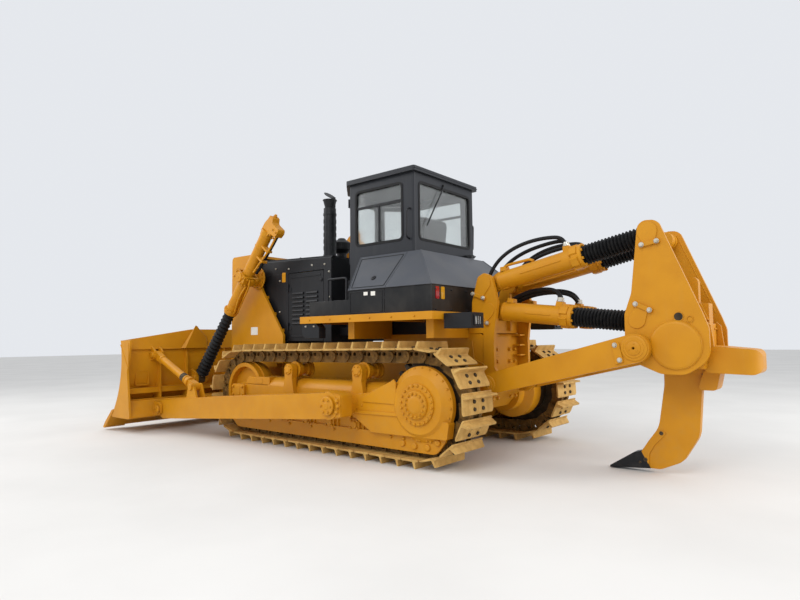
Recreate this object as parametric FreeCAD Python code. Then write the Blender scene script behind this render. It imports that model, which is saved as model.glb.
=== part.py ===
"""Crawler dozer: straight blade that tilts, cab, and a parallelogram ripper.

Millimetres. X runs forward to the blade, Y to the machine's left and Z up from the ground.
While it is drawn, X = 0 is the sprockets' axle. Each piece is then moved so that X = 0 is the
middle of the machine's length. Left pieces are drawn first and right ones are their mirrors.
"""
import FreeCAD
import Part
import math
import os

V = FreeCAD.Vector

# Overall length, between the ripper's push block and the blade's cutting edge
REAR_END = -2895
FRONT_END = 5470

# Track chain and shoes
TRACK_Y = 1070
SHOE_WIDTH = 560
LINK_COUNT = 41
LINK_PITCH = 228.6
SHOE_THICKNESS = 20
SHOE_GAP = 9
GROUSER_HEIGHT = 75
GROUSER_BASE = 34
GROUSER_TIP = 22
GROUSER_PLACE = 30
LINK_RISE = 71
LINK_DROP = 75
RAIL_WIDTH = 42
RAIL_OFFSET = 58
SPROCKET_TEETH = 27
SPROCKET_WIDTH = 84
BUSHING_RADIUS = 37
TOOTH_ABOVE_PIN = 26
IDLER_PITCH_RADIUS = 475
IDLER_FLANGE = 24
IDLER_FLANGE_WIDTH = 84
IDLER_TREAD_WIDTH = 226
WHEEL_CLEARANCE = 0.3

# Rollers under and over the track frame
ROLLER_RADIUS = 125
ROLLER_FLANGE = 18
ROLLER_FLANGE_WIDTH = 16
ROLLER_TREAD_END = 108
ROLLER_COUNT = 6
ROLLER_FIRST_X = 560
ROLLER_LAST_X = 2600
ROLLER_SHAFT_RADIUS = 45
CARRIER_X = (890, 2090)
CARRIER_RADIUS = 92
CARRIER_FLANGE = 12

# Track frame, its rock guard and the sprocket's cover
FRAME_REACH_IN = 140
FRAME_REACH_OUT = 165
FRAME_INNER_Y = TRACK_Y - FRAME_REACH_IN
FRAME_OUTER_Y = TRACK_Y + FRAME_REACH_OUT
FRAME_REAR_X = 600
FRAME_FRONT_X = 2600
FRAME_BOTTOM = 530
FRAME_TOP = 845
SPRING_HOUSING_RADIUS = 150
SKIRT_THICKNESS = 32
SKIRT_BOTTOM = 300
IDLER_ARM_BOTTOM = 560
IDLER_ARM_TOP = 740
IDLER_ARM_PAST = 150
COVER_RIM_RADIUS = 392
COVER_FACE_RADIUS = 303
COVER_BACK_REACH = 135
COVER_RIM_REACH = 192
COVER_FACE_REACH = 265
COVER_INNER_Y = TRACK_Y + COVER_BACK_REACH
COVER_RIM_Y = TRACK_Y + COVER_RIM_REACH
COVER_FACE_Y = TRACK_Y + COVER_FACE_REACH
HUB_RADIUS = 150
HUB_PROUD = 37
HUB_FACE_Y = COVER_FACE_Y + HUB_PROUD
GUARD_BOTTOM = 155
GUARD_TOP = 325
CARRIER_POST_REACH = (145, 230)
CARRIER_POST_Y = (TRACK_Y + CARRIER_POST_REACH[0], TRACK_Y + CARRIER_POST_REACH[1])

# Hull
HULL_HALF_WIDTH = 420
HULL_WALL = 40
CLEARANCE_UNDER_HULL = 500
CASE_REAR_X = -250
CASE_FRONT_X = 1250
CASE_TOP = 1390
CHANNEL_TOP = 1060
BEAM_BOTTOM = 1340
HULL_FRONT_X = 4250
NOSE_BOTTOM = 760
DRIVE_CASE_RADIUS = 330
DRIVE_END_RADIUS = 280
DRIVE_WAIST_RADIUS = 230
DRIVE_WAIST = 140
DRIVE_CONE = 60
DRIVE_CHAMFER = 50
DRIVE_HUB = 210
DRIVE_CASE_Y = (HULL_HALF_WIDTH, TRACK_Y - DRIVE_HUB)
PIVOT_X = 700
PIVOT_Z = 640
PIVOT_RADIUS = 80
TOW_JAW_REACH = 180
TOW_JAW_Z = (850, 970)
TOW_EAR = 35
TOW_BORE_BACK = 80
TOW_BORE_RADIUS = 32
EQUALIZER_X = 2500
EQUALIZER_WIDTH = 150
EQUALIZER_BOTTOM = 560
EQUALIZER_TOP = 700
SEAT_GAP = 0.3
PIN_GAP = 0.1
ROD_GAP = 0.5
ROD_SHORT = 30

# Engine, radiator guard and hood
ENGINE_X = (2110, 3300)
ENGINE_HALF_WIDTH = 320
ENGINE_TOP = 1950
SUMP_HALF_WIDTH = 240
GUARD_OUTER_Y = 640
GUARD_PLATE = 40
GUARD_BASE_Z = 1000
GUARD_TOP_Z = 2670
GUARD_FRONT_X = 4290
GUARD_BOSS_RADIUS = 110
GUARD_BOSS_Y = 705
GRILLE_HALF = 500
GRILLE_Z = (1130, 2520)
GRILLE_RIM = 45
RADIATOR_BEHIND_GUARD = (180, 330)
HOOD_HALF_WIDTH = 550
HOOD_SHEET = 10
HOOD_REAR_X = 2090
HOOD_FRONT_X = 3690
HOOD_TOP_FRONT = 2560
HOOD_TOP_REAR = 2500
HOOD_SKIRT = 180
DOOR_SHEET = 12
ENGINE_DOOR_X = (2250, 2990)
ENGINE_DOOR_Z = (1320, 2310)
ENGINE_HINGE_Z = (1480, 2050)
BULKHEAD = 14
HINGE_OUT = 13
HINGE_PIN_RADIUS = 7
KNUCKLE_RADIUS = 11
KNUCKLE_HEIGHT = 55
KNUCKLE_GAP = 1
HINGE_LEAF = 6
STACK_X = 2535
STACK_Y = 150
STACK_RADIUS = 92
STACK_BODY_TOP = 3290
STACK_MOUTH_HEIGHT = 130
STACK_NECK_RADIUS = 70
STACK_MOUTH_RADIUS = 102
STACK_WALL = 12
CLEANER_X = 2640
CLEANER_Y = -200
CLEANER_RADIUS = 150
CLEANER_TOP = 2880

# Cab, six-sided in plan
CAB_REAR_X = 540
CAB_SIDE_X = 1610
CAB_FRONT_X = 1960
CAB_HALF_WIDTH = 665
CAB_FRONT_HALF = 290
CAB_WALL = 50
CAB_FLOOR = 1830
CAB_EAVES = 3360
ROOF_THICKNESS = 60
ROOF_OVERHANG = 45
SILL = 2545
WINDOW_TOP = 3250
SIDE_WINDOW_X = (720, 1500)
REAR_WINDOW_HALF = 560
FRONT_WINDOW_HALF = 230
FRONT_WINDOW_DROP = 300
CORNER_RADIUS = 55
GLASS = 6
DOOR_THICKNESS = 45
DOOR_BOTTOM = 1860
DOOR_GLASS_BOTTOM = 2080
DOOR_RAIL = 60
DOOR_TOP = 3290
DOOR_GAP = 8
CAB_HINGE_Z = (2000, 3080)

# Platforms, boxes and tank round the cab
DECK_Z = 1535
DECK_TOP = 1620
FENDER_INNER_Y = 440
FENDER_OUTER_Y = 1290
FENDER_REAR_X = -175
FENDER_FRONT_X = 1880
BOX_OUTER_Y = 1130
BOX_BREAK_Z = 1920
BOX_TOP_Z = 2385
BOX_TOP_Y = 690
TANK_REAR_X = -50
TANK_TOP_REAR_X = 420
TANK_FRONT_X = 612
BOX_FRONT_X = 1190
STEP_TOP = 1810
LAMP_BOX_X = (-520, -185)
LAMP_BOX_Y = (860, 1100)
LAMP_BOX_Z = (1440, 1600)

# Blade and push arms
ARM_PIVOT_X = 1000
ARM_PIVOT_Z = 610
ARM_PAST_SHOES = 90
ARM_INNER_Y = TRACK_Y + SHOE_WIDTH / 2 + ARM_PAST_SHOES
ARM_WIDTH = 200
ARM_DEPTH = 285
ARM_HEAD_RADIUS = 150
ARM_PIN_RADIUS = 70
LOW_RAIL_X = 4700
ARM_FRONT_Z = 330
BLADE_HALF_WIDTH = 2065
BLADE_CENTRE_TOP = 1530
BLADE_END_TOP = 1352
BLADE_FLAT_HALF = 900
BLADE_PLATE = 26
BLADE_RADIUS = 1290
BLADE_TOP_X = 5075
BLADE_FOOT = (5260, 225)
BLADE_RIBS = (-1500, -1050, -350, 0, 350, 1050, 1500)
BLADE_RIB_HALF = 12
BLADE_RIB_BACK = 4870
BLADE_RIB_FOOT = 400
TOP_RAIL_BACK = 4935
TOP_RAIL_Z = 1225
MID_RAIL_X = (4905, 5020)
MID_RAIL_Z = (560, 640)
LOW_RAIL_TOP = 470
BLADE_BLANK_TOP = 1600
SIGHT_GUARD_Y = 870
SIGHT_GUARD_HALF = 210
ARM_JOINT = (4600, 337)
ARM_JOINT_RADIUS = 45
ARM_EAR = 36
ARM_EAR_GAP = 6
EDGE_TIP_Z = 60
EDGE_THICKNESS = 32
EDGE_HEIGHT = 360
EDGE_LEAN = 44.5
STRUT_IN_ARM = 120
STRUT_Y = ARM_INNER_Y + STRUT_IN_ARM
STRUT_TOP = (4890, 1130)
STRUT_FOOT = (3800, 690)
STRUT_RADIUS = 55
STRUT_EYE_HALF = 42
STRUT_LUG = 30

# Blade lift cylinders
LIFT_Y = 857
LIFT_PIVOT = (3600, 2280)
LIFT_EYE = (4840, 740)
LIFT_BARREL_RADIUS = 86
LIFT_BARREL_REAR = 800
LIFT_BARREL_FRONT = 640
LIFT_HEAD_HALF = 62
LIFT_HEAD_RISE = 263
LIFT_PORT_REACH = 270
LIFT_ROD_RADIUS = 45
LIFT_BORE_END = -765
LIFT_ROD_START = 200
LIFT_BELLOWS_RADIUS = 92
YOKE_OPENING_HALF = 98
YOKE_HALF = 134
YOKE_HALF_DEPTH = 72
YOKE_PIN_RADIUS = 44
YOKE_STUB_RADIUS = 70
EYE_WIDTH = 100
EYE_RADIUS = 78
LUG_GAP = 7
LUG_THICKNESS = 40

# Ripper: the arm and the pitch cylinders make a parallelogram
BRACKET_Y = 430
BRACKET_PLATE = 50
ARM_FRONT_PIN = (-353, 829)
CARRIER_PIN = (-1930, 1225)
PITCH_FRONT_PIN = (-275, 1955)
PITCH_REAR_PIN = (-2045, 2320)
RIPPER_LIFT_FRONT_PIN = (-318, 1648)
CARRIER_LIFT_PIN = (-1905, 1475)
RIPPER_CYLINDER_Y = 245
RIPPER_ARM_Y = 485
RIPPER_ARM_PLATE = 90
CARRIER_Y = 410
CARRIER_PLATE = 40
CARRIER_CAP = (-2262, 1253)
CARRIER_CAP_RADIUS = 218
CARRIER_CAP_DEPTH = 22
CARRIER_BOSS_RADIUS = 112
RIPPER_PIN_RADIUS = 55
RIPPER_BOSS_RADIUS = 85
RIPPER_BARREL_RADIUS = 105
RIPPER_ROD_RADIUS = 45
RIPPER_BORE_END = 130
RIPPER_BELLOWS_RADIUS = 100
SHANK_HALF_WIDTH = 42
SHANK_TIP = (-1500, 8)
PUSH_BLOCK_HALF = 230
RIPPER_TIE_X = -1150
RIPPER_TIE_RADIUS = 95

DRIVE_SHIFT = -(REAR_END + FRONT_END) / 2


# Drawing helpers

def box(x, y, z):
    """A block between two values on each axis, given as (low, high)."""
    return Part.makeBox(x[1] - x[0], y[1] - y[0], z[1] - z[0], V(x[0], y[0], z[0]))


def rounded_edges(corners):
    """Lines and arcs round a flat outline of (a, b) or (a, b, radius) corners, in the XY plane."""
    edges = []
    count = len(corners)
    starts = []
    ends = []
    for i in range(count):
        here = V(corners[i][0], corners[i][1], 0)
        radius = corners[i][2] if len(corners[i]) > 2 else 0
        if not radius:
            starts.append(here)
            ends.append(here)
            continue
        before = V(corners[i - 1][0], corners[i - 1][1], 0) - here
        after = V(corners[(i + 1) % count][0], corners[(i + 1) % count][1], 0) - here
        half = before.getAngle(after) / 2
        before.normalize()
        after.normalize()
        reach = radius / math.tan(half)
        centre_way = before + after
        centre_way.normalize()
        middle = here + centre_way * (radius / math.sin(half) - radius)
        starts.append(here + before * reach)
        ends.append(here + after * reach)
        edges.append((i, Part.Arc(starts[i], middle, ends[i]).toShape()))
    arcs = dict(edges)
    ring = []
    for i in range(count):
        if i in arcs:
            ring.append(arcs[i])
        ahead = (i + 1) % count
        if ends[i].distanceToPoint(starts[ahead]) > 0.001:
            ring.append(Part.makeLine(ends[i], starts[ahead]))
    return ring


def outline_face(corners):
    return Part.Face(Part.Wire(rounded_edges(corners)))


def side_plate(corners, y):
    """An outline of (x, z) corners, extruded along Y between two values."""
    face = outline_face(corners)
    face.rotate(V(0, 0, 0), V(1, 0, 0), 90)
    face.translate(V(0, y[1], 0))
    return face.extrude(V(0, y[0] - y[1], 0))


def floor_plate(corners, z):
    """An outline of (x, y) corners, extruded along Z between two values."""
    face = outline_face(corners)
    face.translate(V(0, 0, z[0]))
    return face.extrude(V(0, 0, z[1] - z[0]))


def cross_plate(corners, x):
    """An outline of (y, z) corners, extruded along X between two values."""
    face = outline_face(corners)
    face.rotate(V(0, 0, 0), V(1, 1, 1), 120)
    face.translate(V(x[0], 0, 0))
    return face.extrude(V(x[1] - x[0], 0, 0))


def axle(radius, x, z, y):
    """A round bar along Y between two values."""
    return Part.makeCylinder(radius, y[1] - y[0], V(x, y[0], z), V(0, 1, 0))


def bar(radius, start, end):
    """A round bar between two points."""
    way = end - start
    return Part.makeCylinder(radius, way.Length, start, way)


def post(radius, x, y, z):
    return Part.makeCylinder(radius, z[1] - z[0], V(x, y, z[0]))


def turned(profile, x, z, y):
    """A solid turned about Y, from (distance along Y from y, radius) corners."""
    corners = [V(a, b, 0) for a, b in profile]
    face = Part.Face(Part.makePolygon(corners + corners[:1]))
    solid = face.revolve(V(0, 0, 0), V(1, 0, 0), 360)
    solid.rotate(V(0, 0, 0), V(0, 0, 1), 90)
    solid.translate(V(x, y, z))
    return solid


def strap(start, start_radius, end, end_radius, y):
    """A bar with two round ends, in the XZ plane, extruded along Y."""
    dx = end[0] - start[0]
    dz = end[1] - start[1]
    length = math.hypot(dx, dz)
    along = math.atan2(dz, dx)
    lean = math.acos((start_radius - end_radius) / length)

    def rim(centre, radius, angle):
        return V(centre[0] + radius * math.cos(angle), centre[1] + radius * math.sin(angle), 0)

    a, b = rim(start, start_radius, along + lean), rim(end, end_radius, along + lean)
    c, d = rim(end, end_radius, along - lean), rim(start, start_radius, along - lean)
    ring = [Part.makeLine(a, b),
            Part.Arc(b, rim(end, end_radius, along), c).toShape(),
            Part.makeLine(c, d),
            Part.Arc(d, rim(start, start_radius, along + math.pi), a).toShape()]
    face = Part.Face(Part.Wire(ring))
    face.rotate(V(0, 0, 0), V(1, 0, 0), 90)
    face.translate(V(0, y[1], 0))
    return face.extrude(V(0, y[0] - y[1], 0))


def joined(*pieces):
    whole = pieces[0].fuse(list(pieces[1:])) if len(pieces) > 1 else pieces[0]
    return whole.removeSplitter()


def mirrored(shape):
    return shape.mirror(V(0, 0, 0), V(0, 1, 0))


def both_sides(shape):
    return Part.makeCompound([shape, mirrored(shape)])


def save(name, shape):
    shape = shape.copy()
    shape.translate(V(DRIVE_SHIFT, 0, 0))
    if not shape.isValid():
        print("not valid:", name)
    shape.exportStep("parts/" + name + ".step")


def save_pair(name, shape):
    save(name + "_left", shape)
    save(name + "_right", mirrored(shape))


# Track geometry, worked out from the link's pitch

PIN_HEIGHT = GROUSER_HEIGHT + SHOE_THICKNESS + LINK_RISE
SPROCKET_RADIUS = SPROCKET_TEETH / 2 * LINK_PITCH / (2 * math.pi)
AXLE_Z = PIN_HEIGHT + SPROCKET_RADIUS
IDLER_Z = PIN_HEIGHT + IDLER_PITCH_RADIUS
IDLER_X = (LINK_COUNT * LINK_PITCH - math.pi * (SPROCKET_RADIUS + IDLER_PITCH_RADIUS)) / 2
TOP_TILT = 2 * math.atan((SPROCKET_RADIUS - IDLER_PITCH_RADIUS) / IDLER_X)


def pin_at(distance):
    """A point of the chain's pitch line, at a distance from the sprocket's lowest point."""
    idler_turn = IDLER_PITCH_RADIUS * (math.pi - TOP_TILT)
    if distance < IDLER_X:
        return (distance, PIN_HEIGHT)
    distance -= IDLER_X
    if distance < idler_turn:
        angle = distance / IDLER_PITCH_RADIUS - math.pi / 2
        return (IDLER_X + IDLER_PITCH_RADIUS * math.cos(angle),
                IDLER_Z + IDLER_PITCH_RADIUS * math.sin(angle))
    distance -= idler_turn
    angle = math.pi / 2 - TOP_TILT
    if distance < IDLER_X:
        return (IDLER_X + IDLER_PITCH_RADIUS * math.cos(angle) - distance * math.sin(angle),
                IDLER_Z + IDLER_PITCH_RADIUS * math.sin(angle) + distance * math.cos(angle))
    angle += (distance - IDLER_X) / SPROCKET_RADIUS
    return (SPROCKET_RADIUS * math.cos(angle), AXLE_Z + SPROCKET_RADIUS * math.sin(angle))


def chain_pins():
    return [pin_at(i * LINK_PITCH) for i in range(LINK_COUNT)]


def chain_offset(pins, height):
    """The chain's polygon moved outward by height, as (x, z) corners."""
    ways = []
    for i, pin in enumerate(pins):
        ahead = pins[(i + 1) % len(pins)]
        length = math.dist(pin, ahead)
        ways.append(((ahead[1] - pin[1]) / length, -(ahead[0] - pin[0]) / length))
    corners = []
    for i, pin in enumerate(pins):
        nx = ways[i][0] + ways[i - 1][0]
        nz = ways[i][1] + ways[i - 1][1]
        size = math.hypot(nx, nz)
        reach = height / (size / 2)
        corners.append((pin[0] + nx / size * reach, pin[1] + nz / size * reach))
    return corners


def shoe_outline(pins):
    """The shoes' outer outline: a plate and one grouser for each link."""
    plate = LINK_RISE + SHOE_THICKNESS
    tip = plate + GROUSER_HEIGHT
    lean = (GROUSER_BASE - GROUSER_TIP) / 2
    corners = []
    for i, pin in enumerate(pins):
        ahead = pins[(i + 1) % len(pins)]
        length = math.dist(pin, ahead)
        tx, tz = (ahead[0] - pin[0]) / length, (ahead[1] - pin[1]) / length
        shoe = ((SHOE_GAP / 2, plate),
                (GROUSER_PLACE, plate),
                (GROUSER_PLACE + lean, tip),
                (GROUSER_PLACE + lean + GROUSER_TIP, tip),
                (GROUSER_PLACE + GROUSER_BASE, plate),
                (length - SHOE_GAP / 2, plate),
                (length - SHOE_GAP / 2, plate - SHOE_THICKNESS / 2))
        for along, out in shoe:
            corners.append((pin[0] + tx * along + tz * out, pin[1] + tz * along - tx * out))
    return corners


def track():
    pins = chain_pins()
    shoe_y = (TRACK_Y - SHOE_WIDTH / 2, TRACK_Y + SHOE_WIDTH / 2)
    shoes = side_plate(shoe_outline(pins), shoe_y)
    shoes = shoes.cut(side_plate(chain_offset(pins, LINK_RISE), shoe_y))
    rails = []
    for low in (TRACK_Y - RAIL_OFFSET - RAIL_WIDTH, TRACK_Y + RAIL_OFFSET):
        rail_y = (low, low + RAIL_WIDTH)
        outer = side_plate(chain_offset(pins, LINK_RISE), rail_y)
        rails.append(outer.cut(side_plate(chain_offset(pins, -LINK_DROP), rail_y)))
    return joined(shoes, *rails)


def sprocket():
    """A toothed ring between the chain's rails, on its hub."""
    root = SPROCKET_RADIUS - BUSHING_RADIUS - WHEEL_CLEARANCE
    crest = SPROCKET_RADIUS + TOOTH_ABOVE_PIN
    step = 2 * math.pi / SPROCKET_TEETH
    corners = []
    for i in range(SPROCKET_TEETH):
        middle = i * step - math.pi / 2 + step / 2
        for radius, half in ((root, 0.30), (crest, 0.13)):
            corners.append((radius, middle - half * step))
        for radius, half in ((crest, 0.13), (root, 0.30)):
            corners.append((radius, middle + half * step))
    ring = [(r * math.cos(a), AXLE_Z + r * math.sin(a)) for r, a in corners]
    half = SPROCKET_WIDTH / 2
    wheel = side_plate(ring, (TRACK_Y - half, TRACK_Y + half))
    hub = axle(COVER_FACE_RADIUS, 0, AXLE_Z, (DRIVE_CASE_Y[1], TRACK_Y))
    nose = axle(HUB_RADIUS, 0, AXLE_Z, (TRACK_Y, SKIRT_OUTER[0] - SEAT_GAP))
    return joined(wheel, hub, nose)


def idler():
    chord_radius = math.sqrt(IDLER_PITCH_RADIUS ** 2 - (LINK_PITCH / 2) ** 2)
    tread = chord_radius - LINK_DROP - WHEEL_CLEARANCE
    flange = tread + IDLER_FLANGE
    half = IDLER_TREAD_WIDTH / 2
    mid = IDLER_FLANGE_WIDTH / 2
    rim = 55
    web = 22
    hub = 120
    profile = [(-half, 0), (-half, hub), (-web, hub), (-web, tread - rim), (-half, tread - rim),
               (-half, tread), (-mid, tread), (-mid, flange), (mid, flange), (mid, tread),
               (half, tread), (half, tread - rim), (web, tread - rim), (web, hub), (half, hub),
               (half, 0)]
    return turned(profile, IDLER_X, IDLER_Z, TRACK_Y)


def roller(radius, flange_height, x, z, reach):
    """A double-flanged roller on its shaft, which reaches out past both ends."""
    tread = ROLLER_TREAD_END
    edge = tread + ROLLER_FLANGE_WIDTH
    flange = radius + flange_height
    waist = RAIL_OFFSET - 14
    neck = radius - 28
    shaft = ROLLER_SHAFT_RADIUS
    profile = [(-reach[0], 0), (-reach[0], shaft), (-edge, shaft), (-edge, flange), (-tread, flange),
               (-tread, radius), (-waist, radius), (-waist, neck), (waist, neck), (waist, radius),
               (tread, radius), (tread, flange), (edge, flange), (edge, shaft), (reach[1], shaft),
               (reach[1], 0)]
    return turned(profile, x, z, TRACK_Y)


def roller_places():
    step = (ROLLER_LAST_X - ROLLER_FIRST_X) / (ROLLER_COUNT - 1)
    return [ROLLER_FIRST_X + i * step for i in range(ROLLER_COUNT)]


ROLLER_Z = PIN_HEIGHT + LINK_DROP + ROLLER_RADIUS + WHEEL_CLEARANCE
SKIRT_INNER = (FRAME_INNER_Y - SKIRT_THICKNESS, FRAME_INNER_Y)
SKIRT_OUTER = (FRAME_OUTER_Y - SKIRT_THICKNESS, FRAME_OUTER_Y)


def carrier_z(x):
    """The height at which a carrier roller meets the upper rails."""
    slope = (SPROCKET_RADIUS + AXLE_Z - IDLER_Z - IDLER_PITCH_RADIUS) / IDLER_X
    rail = AXLE_Z + SPROCKET_RADIUS - LINK_DROP - slope * x
    return rail - CARRIER_RADIUS - WHEEL_CLEARANCE


def track_rollers():
    reach = (TRACK_Y - SKIRT_INNER[1] - SEAT_GAP, SKIRT_OUTER[0] - TRACK_Y - SEAT_GAP)
    return [roller(ROLLER_RADIUS, ROLLER_FLANGE, x, ROLLER_Z, reach) for x in roller_places()]


def carrier_rollers():
    reach = (140, CARRIER_POST_Y[0] - TRACK_Y - SEAT_GAP)
    return [roller(CARRIER_RADIUS, CARRIER_FLANGE, x, carrier_z(x), reach) for x in CARRIER_X]


def carrier_post(x):
    """The post outside a carrier roller, with a round head at the roller's shaft."""
    head = strap((x, carrier_z(x)), 78, (x, FRAME_TOP - 40), 62, CARRIER_POST_Y)
    foot = side_plate([(x - 130, 540), (x + 130, 540), (x + 70, 860, 20), (x - 70, 860, 20)],
                      (FRAME_OUTER_Y, CARRIER_POST_Y[1]))
    return joined(head, foot)


def track_frame():
    """The box beam, the idler's arms, roller skirts, rock guard and the sprocket's cover."""
    beam = cross_plate([(FRAME_INNER_Y, FRAME_BOTTOM), (FRAME_OUTER_Y, FRAME_BOTTOM),
                        (FRAME_OUTER_Y, FRAME_TOP, SPRING_HOUSING_RADIUS), (FRAME_INNER_Y, FRAME_TOP, 40)],
                       (FRAME_REAR_X, FRAME_FRONT_X))
    pieces = [beam]
    arm_end = IDLER_X + IDLER_ARM_PAST
    for y in (SKIRT_INNER, SKIRT_OUTER):
        pieces.append(side_plate([(FRAME_REAR_X, SKIRT_BOTTOM), (FRAME_FRONT_X + 150, SKIRT_BOTTOM, 60),
                                  (FRAME_FRONT_X + 230, FRAME_BOTTOM), (arm_end, IDLER_ARM_BOTTOM, 60),
                                  (arm_end, IDLER_ARM_TOP, 60), (FRAME_FRONT_X, IDLER_ARM_TOP),
                                  (FRAME_REAR_X, IDLER_ARM_TOP)], y))
    hub_reach = IDLER_TREAD_WIDTH / 2 + SEAT_GAP
    for y in ((SKIRT_INNER[0], TRACK_Y - hub_reach), (TRACK_Y + hub_reach, SKIRT_OUTER[1] + 25)):
        pieces.append(box((IDLER_X - 110, IDLER_X + 110), y, (IDLER_Z - 85, IDLER_Z + 85)))
    cover = turned([(0, HUB_RADIUS - 40), (0, COVER_RIM_RADIUS),
                    (COVER_RIM_Y - COVER_INNER_Y, COVER_RIM_RADIUS),
                    (COVER_FACE_Y - COVER_INNER_Y, COVER_FACE_RADIUS),
                    (COVER_FACE_Y - COVER_INNER_Y, HUB_RADIUS - 40)], 0, AXLE_Z, COVER_INNER_Y)
    hub = axle(HUB_RADIUS, 0, AXLE_Z, (COVER_INNER_Y + SEAT_GAP, HUB_FACE_Y))
    cheek = side_plate([(-375, 505, 30), (-345, 325, 20), (FRAME_REAR_X + 60, 315),
                        (FRAME_REAR_X + 500, 560, 40), (FRAME_REAR_X + 500, 690, 40),
                        (300, 800), (60, 500), (-200, 500)], (SKIRT_OUTER[0], COVER_FACE_Y - 25))
    guard = side_plate([(-300, GUARD_TOP), (-300, 300, 40), (-180, GUARD_BOTTOM, 120),
                        (IDLER_X + 40, GUARD_BOTTOM, 120), (IDLER_X + 260, 330, 60),
                        (IDLER_X + 200, 400, 30), (IDLER_X - 200, GUARD_TOP)],
                       (SKIRT_OUTER[1], SKIRT_OUTER[1] + 25))
    pieces += [cover, hub, cheek, guard]
    pieces += [carrier_post(x) for x in CARRIER_X]
    arm_pin = axle(ARM_PIN_RADIUS, ARM_PIVOT_X, ARM_PIVOT_Z, (SKIRT_OUTER[0], ARM_INNER_Y + ARM_WIDTH + 20))
    boss = axle(ARM_HEAD_RADIUS - 20, ARM_PIVOT_X, ARM_PIVOT_Z, (SKIRT_OUTER[0], ARM_INNER_Y - 10))
    pieces += [arm_pin, boss]
    return joined(*pieces)


# Hull and drive

def main_frame():
    case = side_plate([(CASE_REAR_X, CLEARANCE_UNDER_HULL + 200), (CASE_REAR_X + 180, CLEARANCE_UNDER_HULL),
                       (CASE_FRONT_X, CLEARANCE_UNDER_HULL), (CASE_FRONT_X, CASE_TOP, 60),
                       (CASE_REAR_X, CASE_TOP, 60)], (-HULL_HALF_WIDTH, HULL_HALF_WIDTH))
    rails = [(CASE_FRONT_X, CLEARANCE_UNDER_HULL), (3500, CLEARANCE_UNDER_HULL),
             (HULL_FRONT_X, NOSE_BOTTOM, 60), (HULL_FRONT_X, CHANNEL_TOP), (CASE_FRONT_X, CHANNEL_TOP)]
    channel = side_plate(rails, (-HULL_HALF_WIDTH, HULL_HALF_WIDTH))
    inside = HULL_HALF_WIDTH - HULL_WALL
    trough = side_plate([(CASE_FRONT_X, CLEARANCE_UNDER_HULL + HULL_WALL),
                         (3480, CLEARANCE_UNDER_HULL + HULL_WALL),
                         (HULL_FRONT_X - 60, NOSE_BOTTOM + HULL_WALL + 10),
                         (HULL_FRONT_X - 60, CHANNEL_TOP + 10), (CASE_FRONT_X, CHANNEL_TOP + 10)],
                        (-inside, inside))
    tunnel = box((EQUALIZER_X - EQUALIZER_WIDTH / 2 - 8, EQUALIZER_X + EQUALIZER_WIDTH / 2 + 8),
                 (-HULL_HALF_WIDTH - 1, HULL_HALF_WIDTH + 1),
                 (EQUALIZER_BOTTOM - 8, EQUALIZER_TOP + 8))
    shafts = axle(PIVOT_RADIUS, PIVOT_X, PIVOT_Z, (-SKIRT_INNER[0], SKIRT_INNER[0]))
    shelf = box((3150, HULL_FRONT_X), (-GUARD_OUTER_Y, GUARD_OUTER_Y), (GUARD_BASE_Z - 60, GUARD_BASE_Z))
    shelf = shelf.cut(box((3250, HULL_FRONT_X - 60), (-inside, inside),
                          (GUARD_BASE_Z - 61, GUARD_BASE_Z + 1)))
    cross = box((2980, 3080), (-600, 600), (EQUALIZER_TOP + 60, CHANNEL_TOP))
    cross = cross.cut(box((2970, 3090), (-inside, inside), (EQUALIZER_TOP, CHANNEL_TOP + 1)))
    beams = []
    for x in (0, 1170):
        beam = box((x - 50, x + 50), (HULL_HALF_WIDTH - 20, 1100), (BEAM_BOTTOM, DECK_TOP - 20 - SEAT_GAP))
        beams += [beam, mirrored(beam)]
    pin_boss = box((EQUALIZER_X - 40, EQUALIZER_X + 40), (-40, 40), (EQUALIZER_TOP, EQUALIZER_TOP + 8))
    hull = joined(case, channel.cut(trough).cut(tunnel), shafts, shelf, cross, *beams,
                  pin_boss, tow_jaw())
    bore_x = HULL_FRONT_X + TOW_JAW_REACH - TOW_BORE_BACK
    return hull.cut(post(TOW_BORE_RADIUS, bore_x, 0, (TOW_JAW_Z[0] - 1, TOW_JAW_Z[1] + 1)))


def tow_jaw():
    """Two level ears on the hull's nose, for an upright tow pin."""
    plan = [(HULL_FRONT_X - 10, -110), (HULL_FRONT_X + TOW_JAW_REACH, -80, 60),
            (HULL_FRONT_X + TOW_JAW_REACH, 80, 60), (HULL_FRONT_X - 10, 110)]
    low, high = TOW_JAW_Z
    return joined(floor_plate(plan, (low, low + TOW_EAR)), floor_plate(plan, (high - TOW_EAR, high)),
                  box((HULL_FRONT_X - 10, HULL_FRONT_X + 30), (-110, 110), TOW_JAW_Z))


def final_drive():
    """The side case between the hull and the sprocket's hub."""
    inner, outer = DRIVE_CASE_Y
    length = outer - inner
    return turned([(0, 0), (0, DRIVE_WAIST_RADIUS), (DRIVE_WAIST, DRIVE_WAIST_RADIUS),
                   (DRIVE_WAIST + DRIVE_CONE, DRIVE_CASE_RADIUS), (length - DRIVE_CHAMFER, DRIVE_CASE_RADIUS),
                   (length, DRIVE_END_RADIUS), (length, 0)], 0, AXLE_Z, inner)


def equalizer_bar():
    half = EQUALIZER_WIDTH / 2
    reach = FRAME_INNER_Y - SKIRT_THICKNESS
    return cross_plate([(-reach, EQUALIZER_BOTTOM + 40), (-HULL_HALF_WIDTH, EQUALIZER_BOTTOM),
                        (HULL_HALF_WIDTH, EQUALIZER_BOTTOM), (reach, EQUALIZER_BOTTOM + 40),
                        (reach, EQUALIZER_TOP), (-reach, EQUALIZER_TOP)],
                       (EQUALIZER_X - half, EQUALIZER_X + half))


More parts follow.
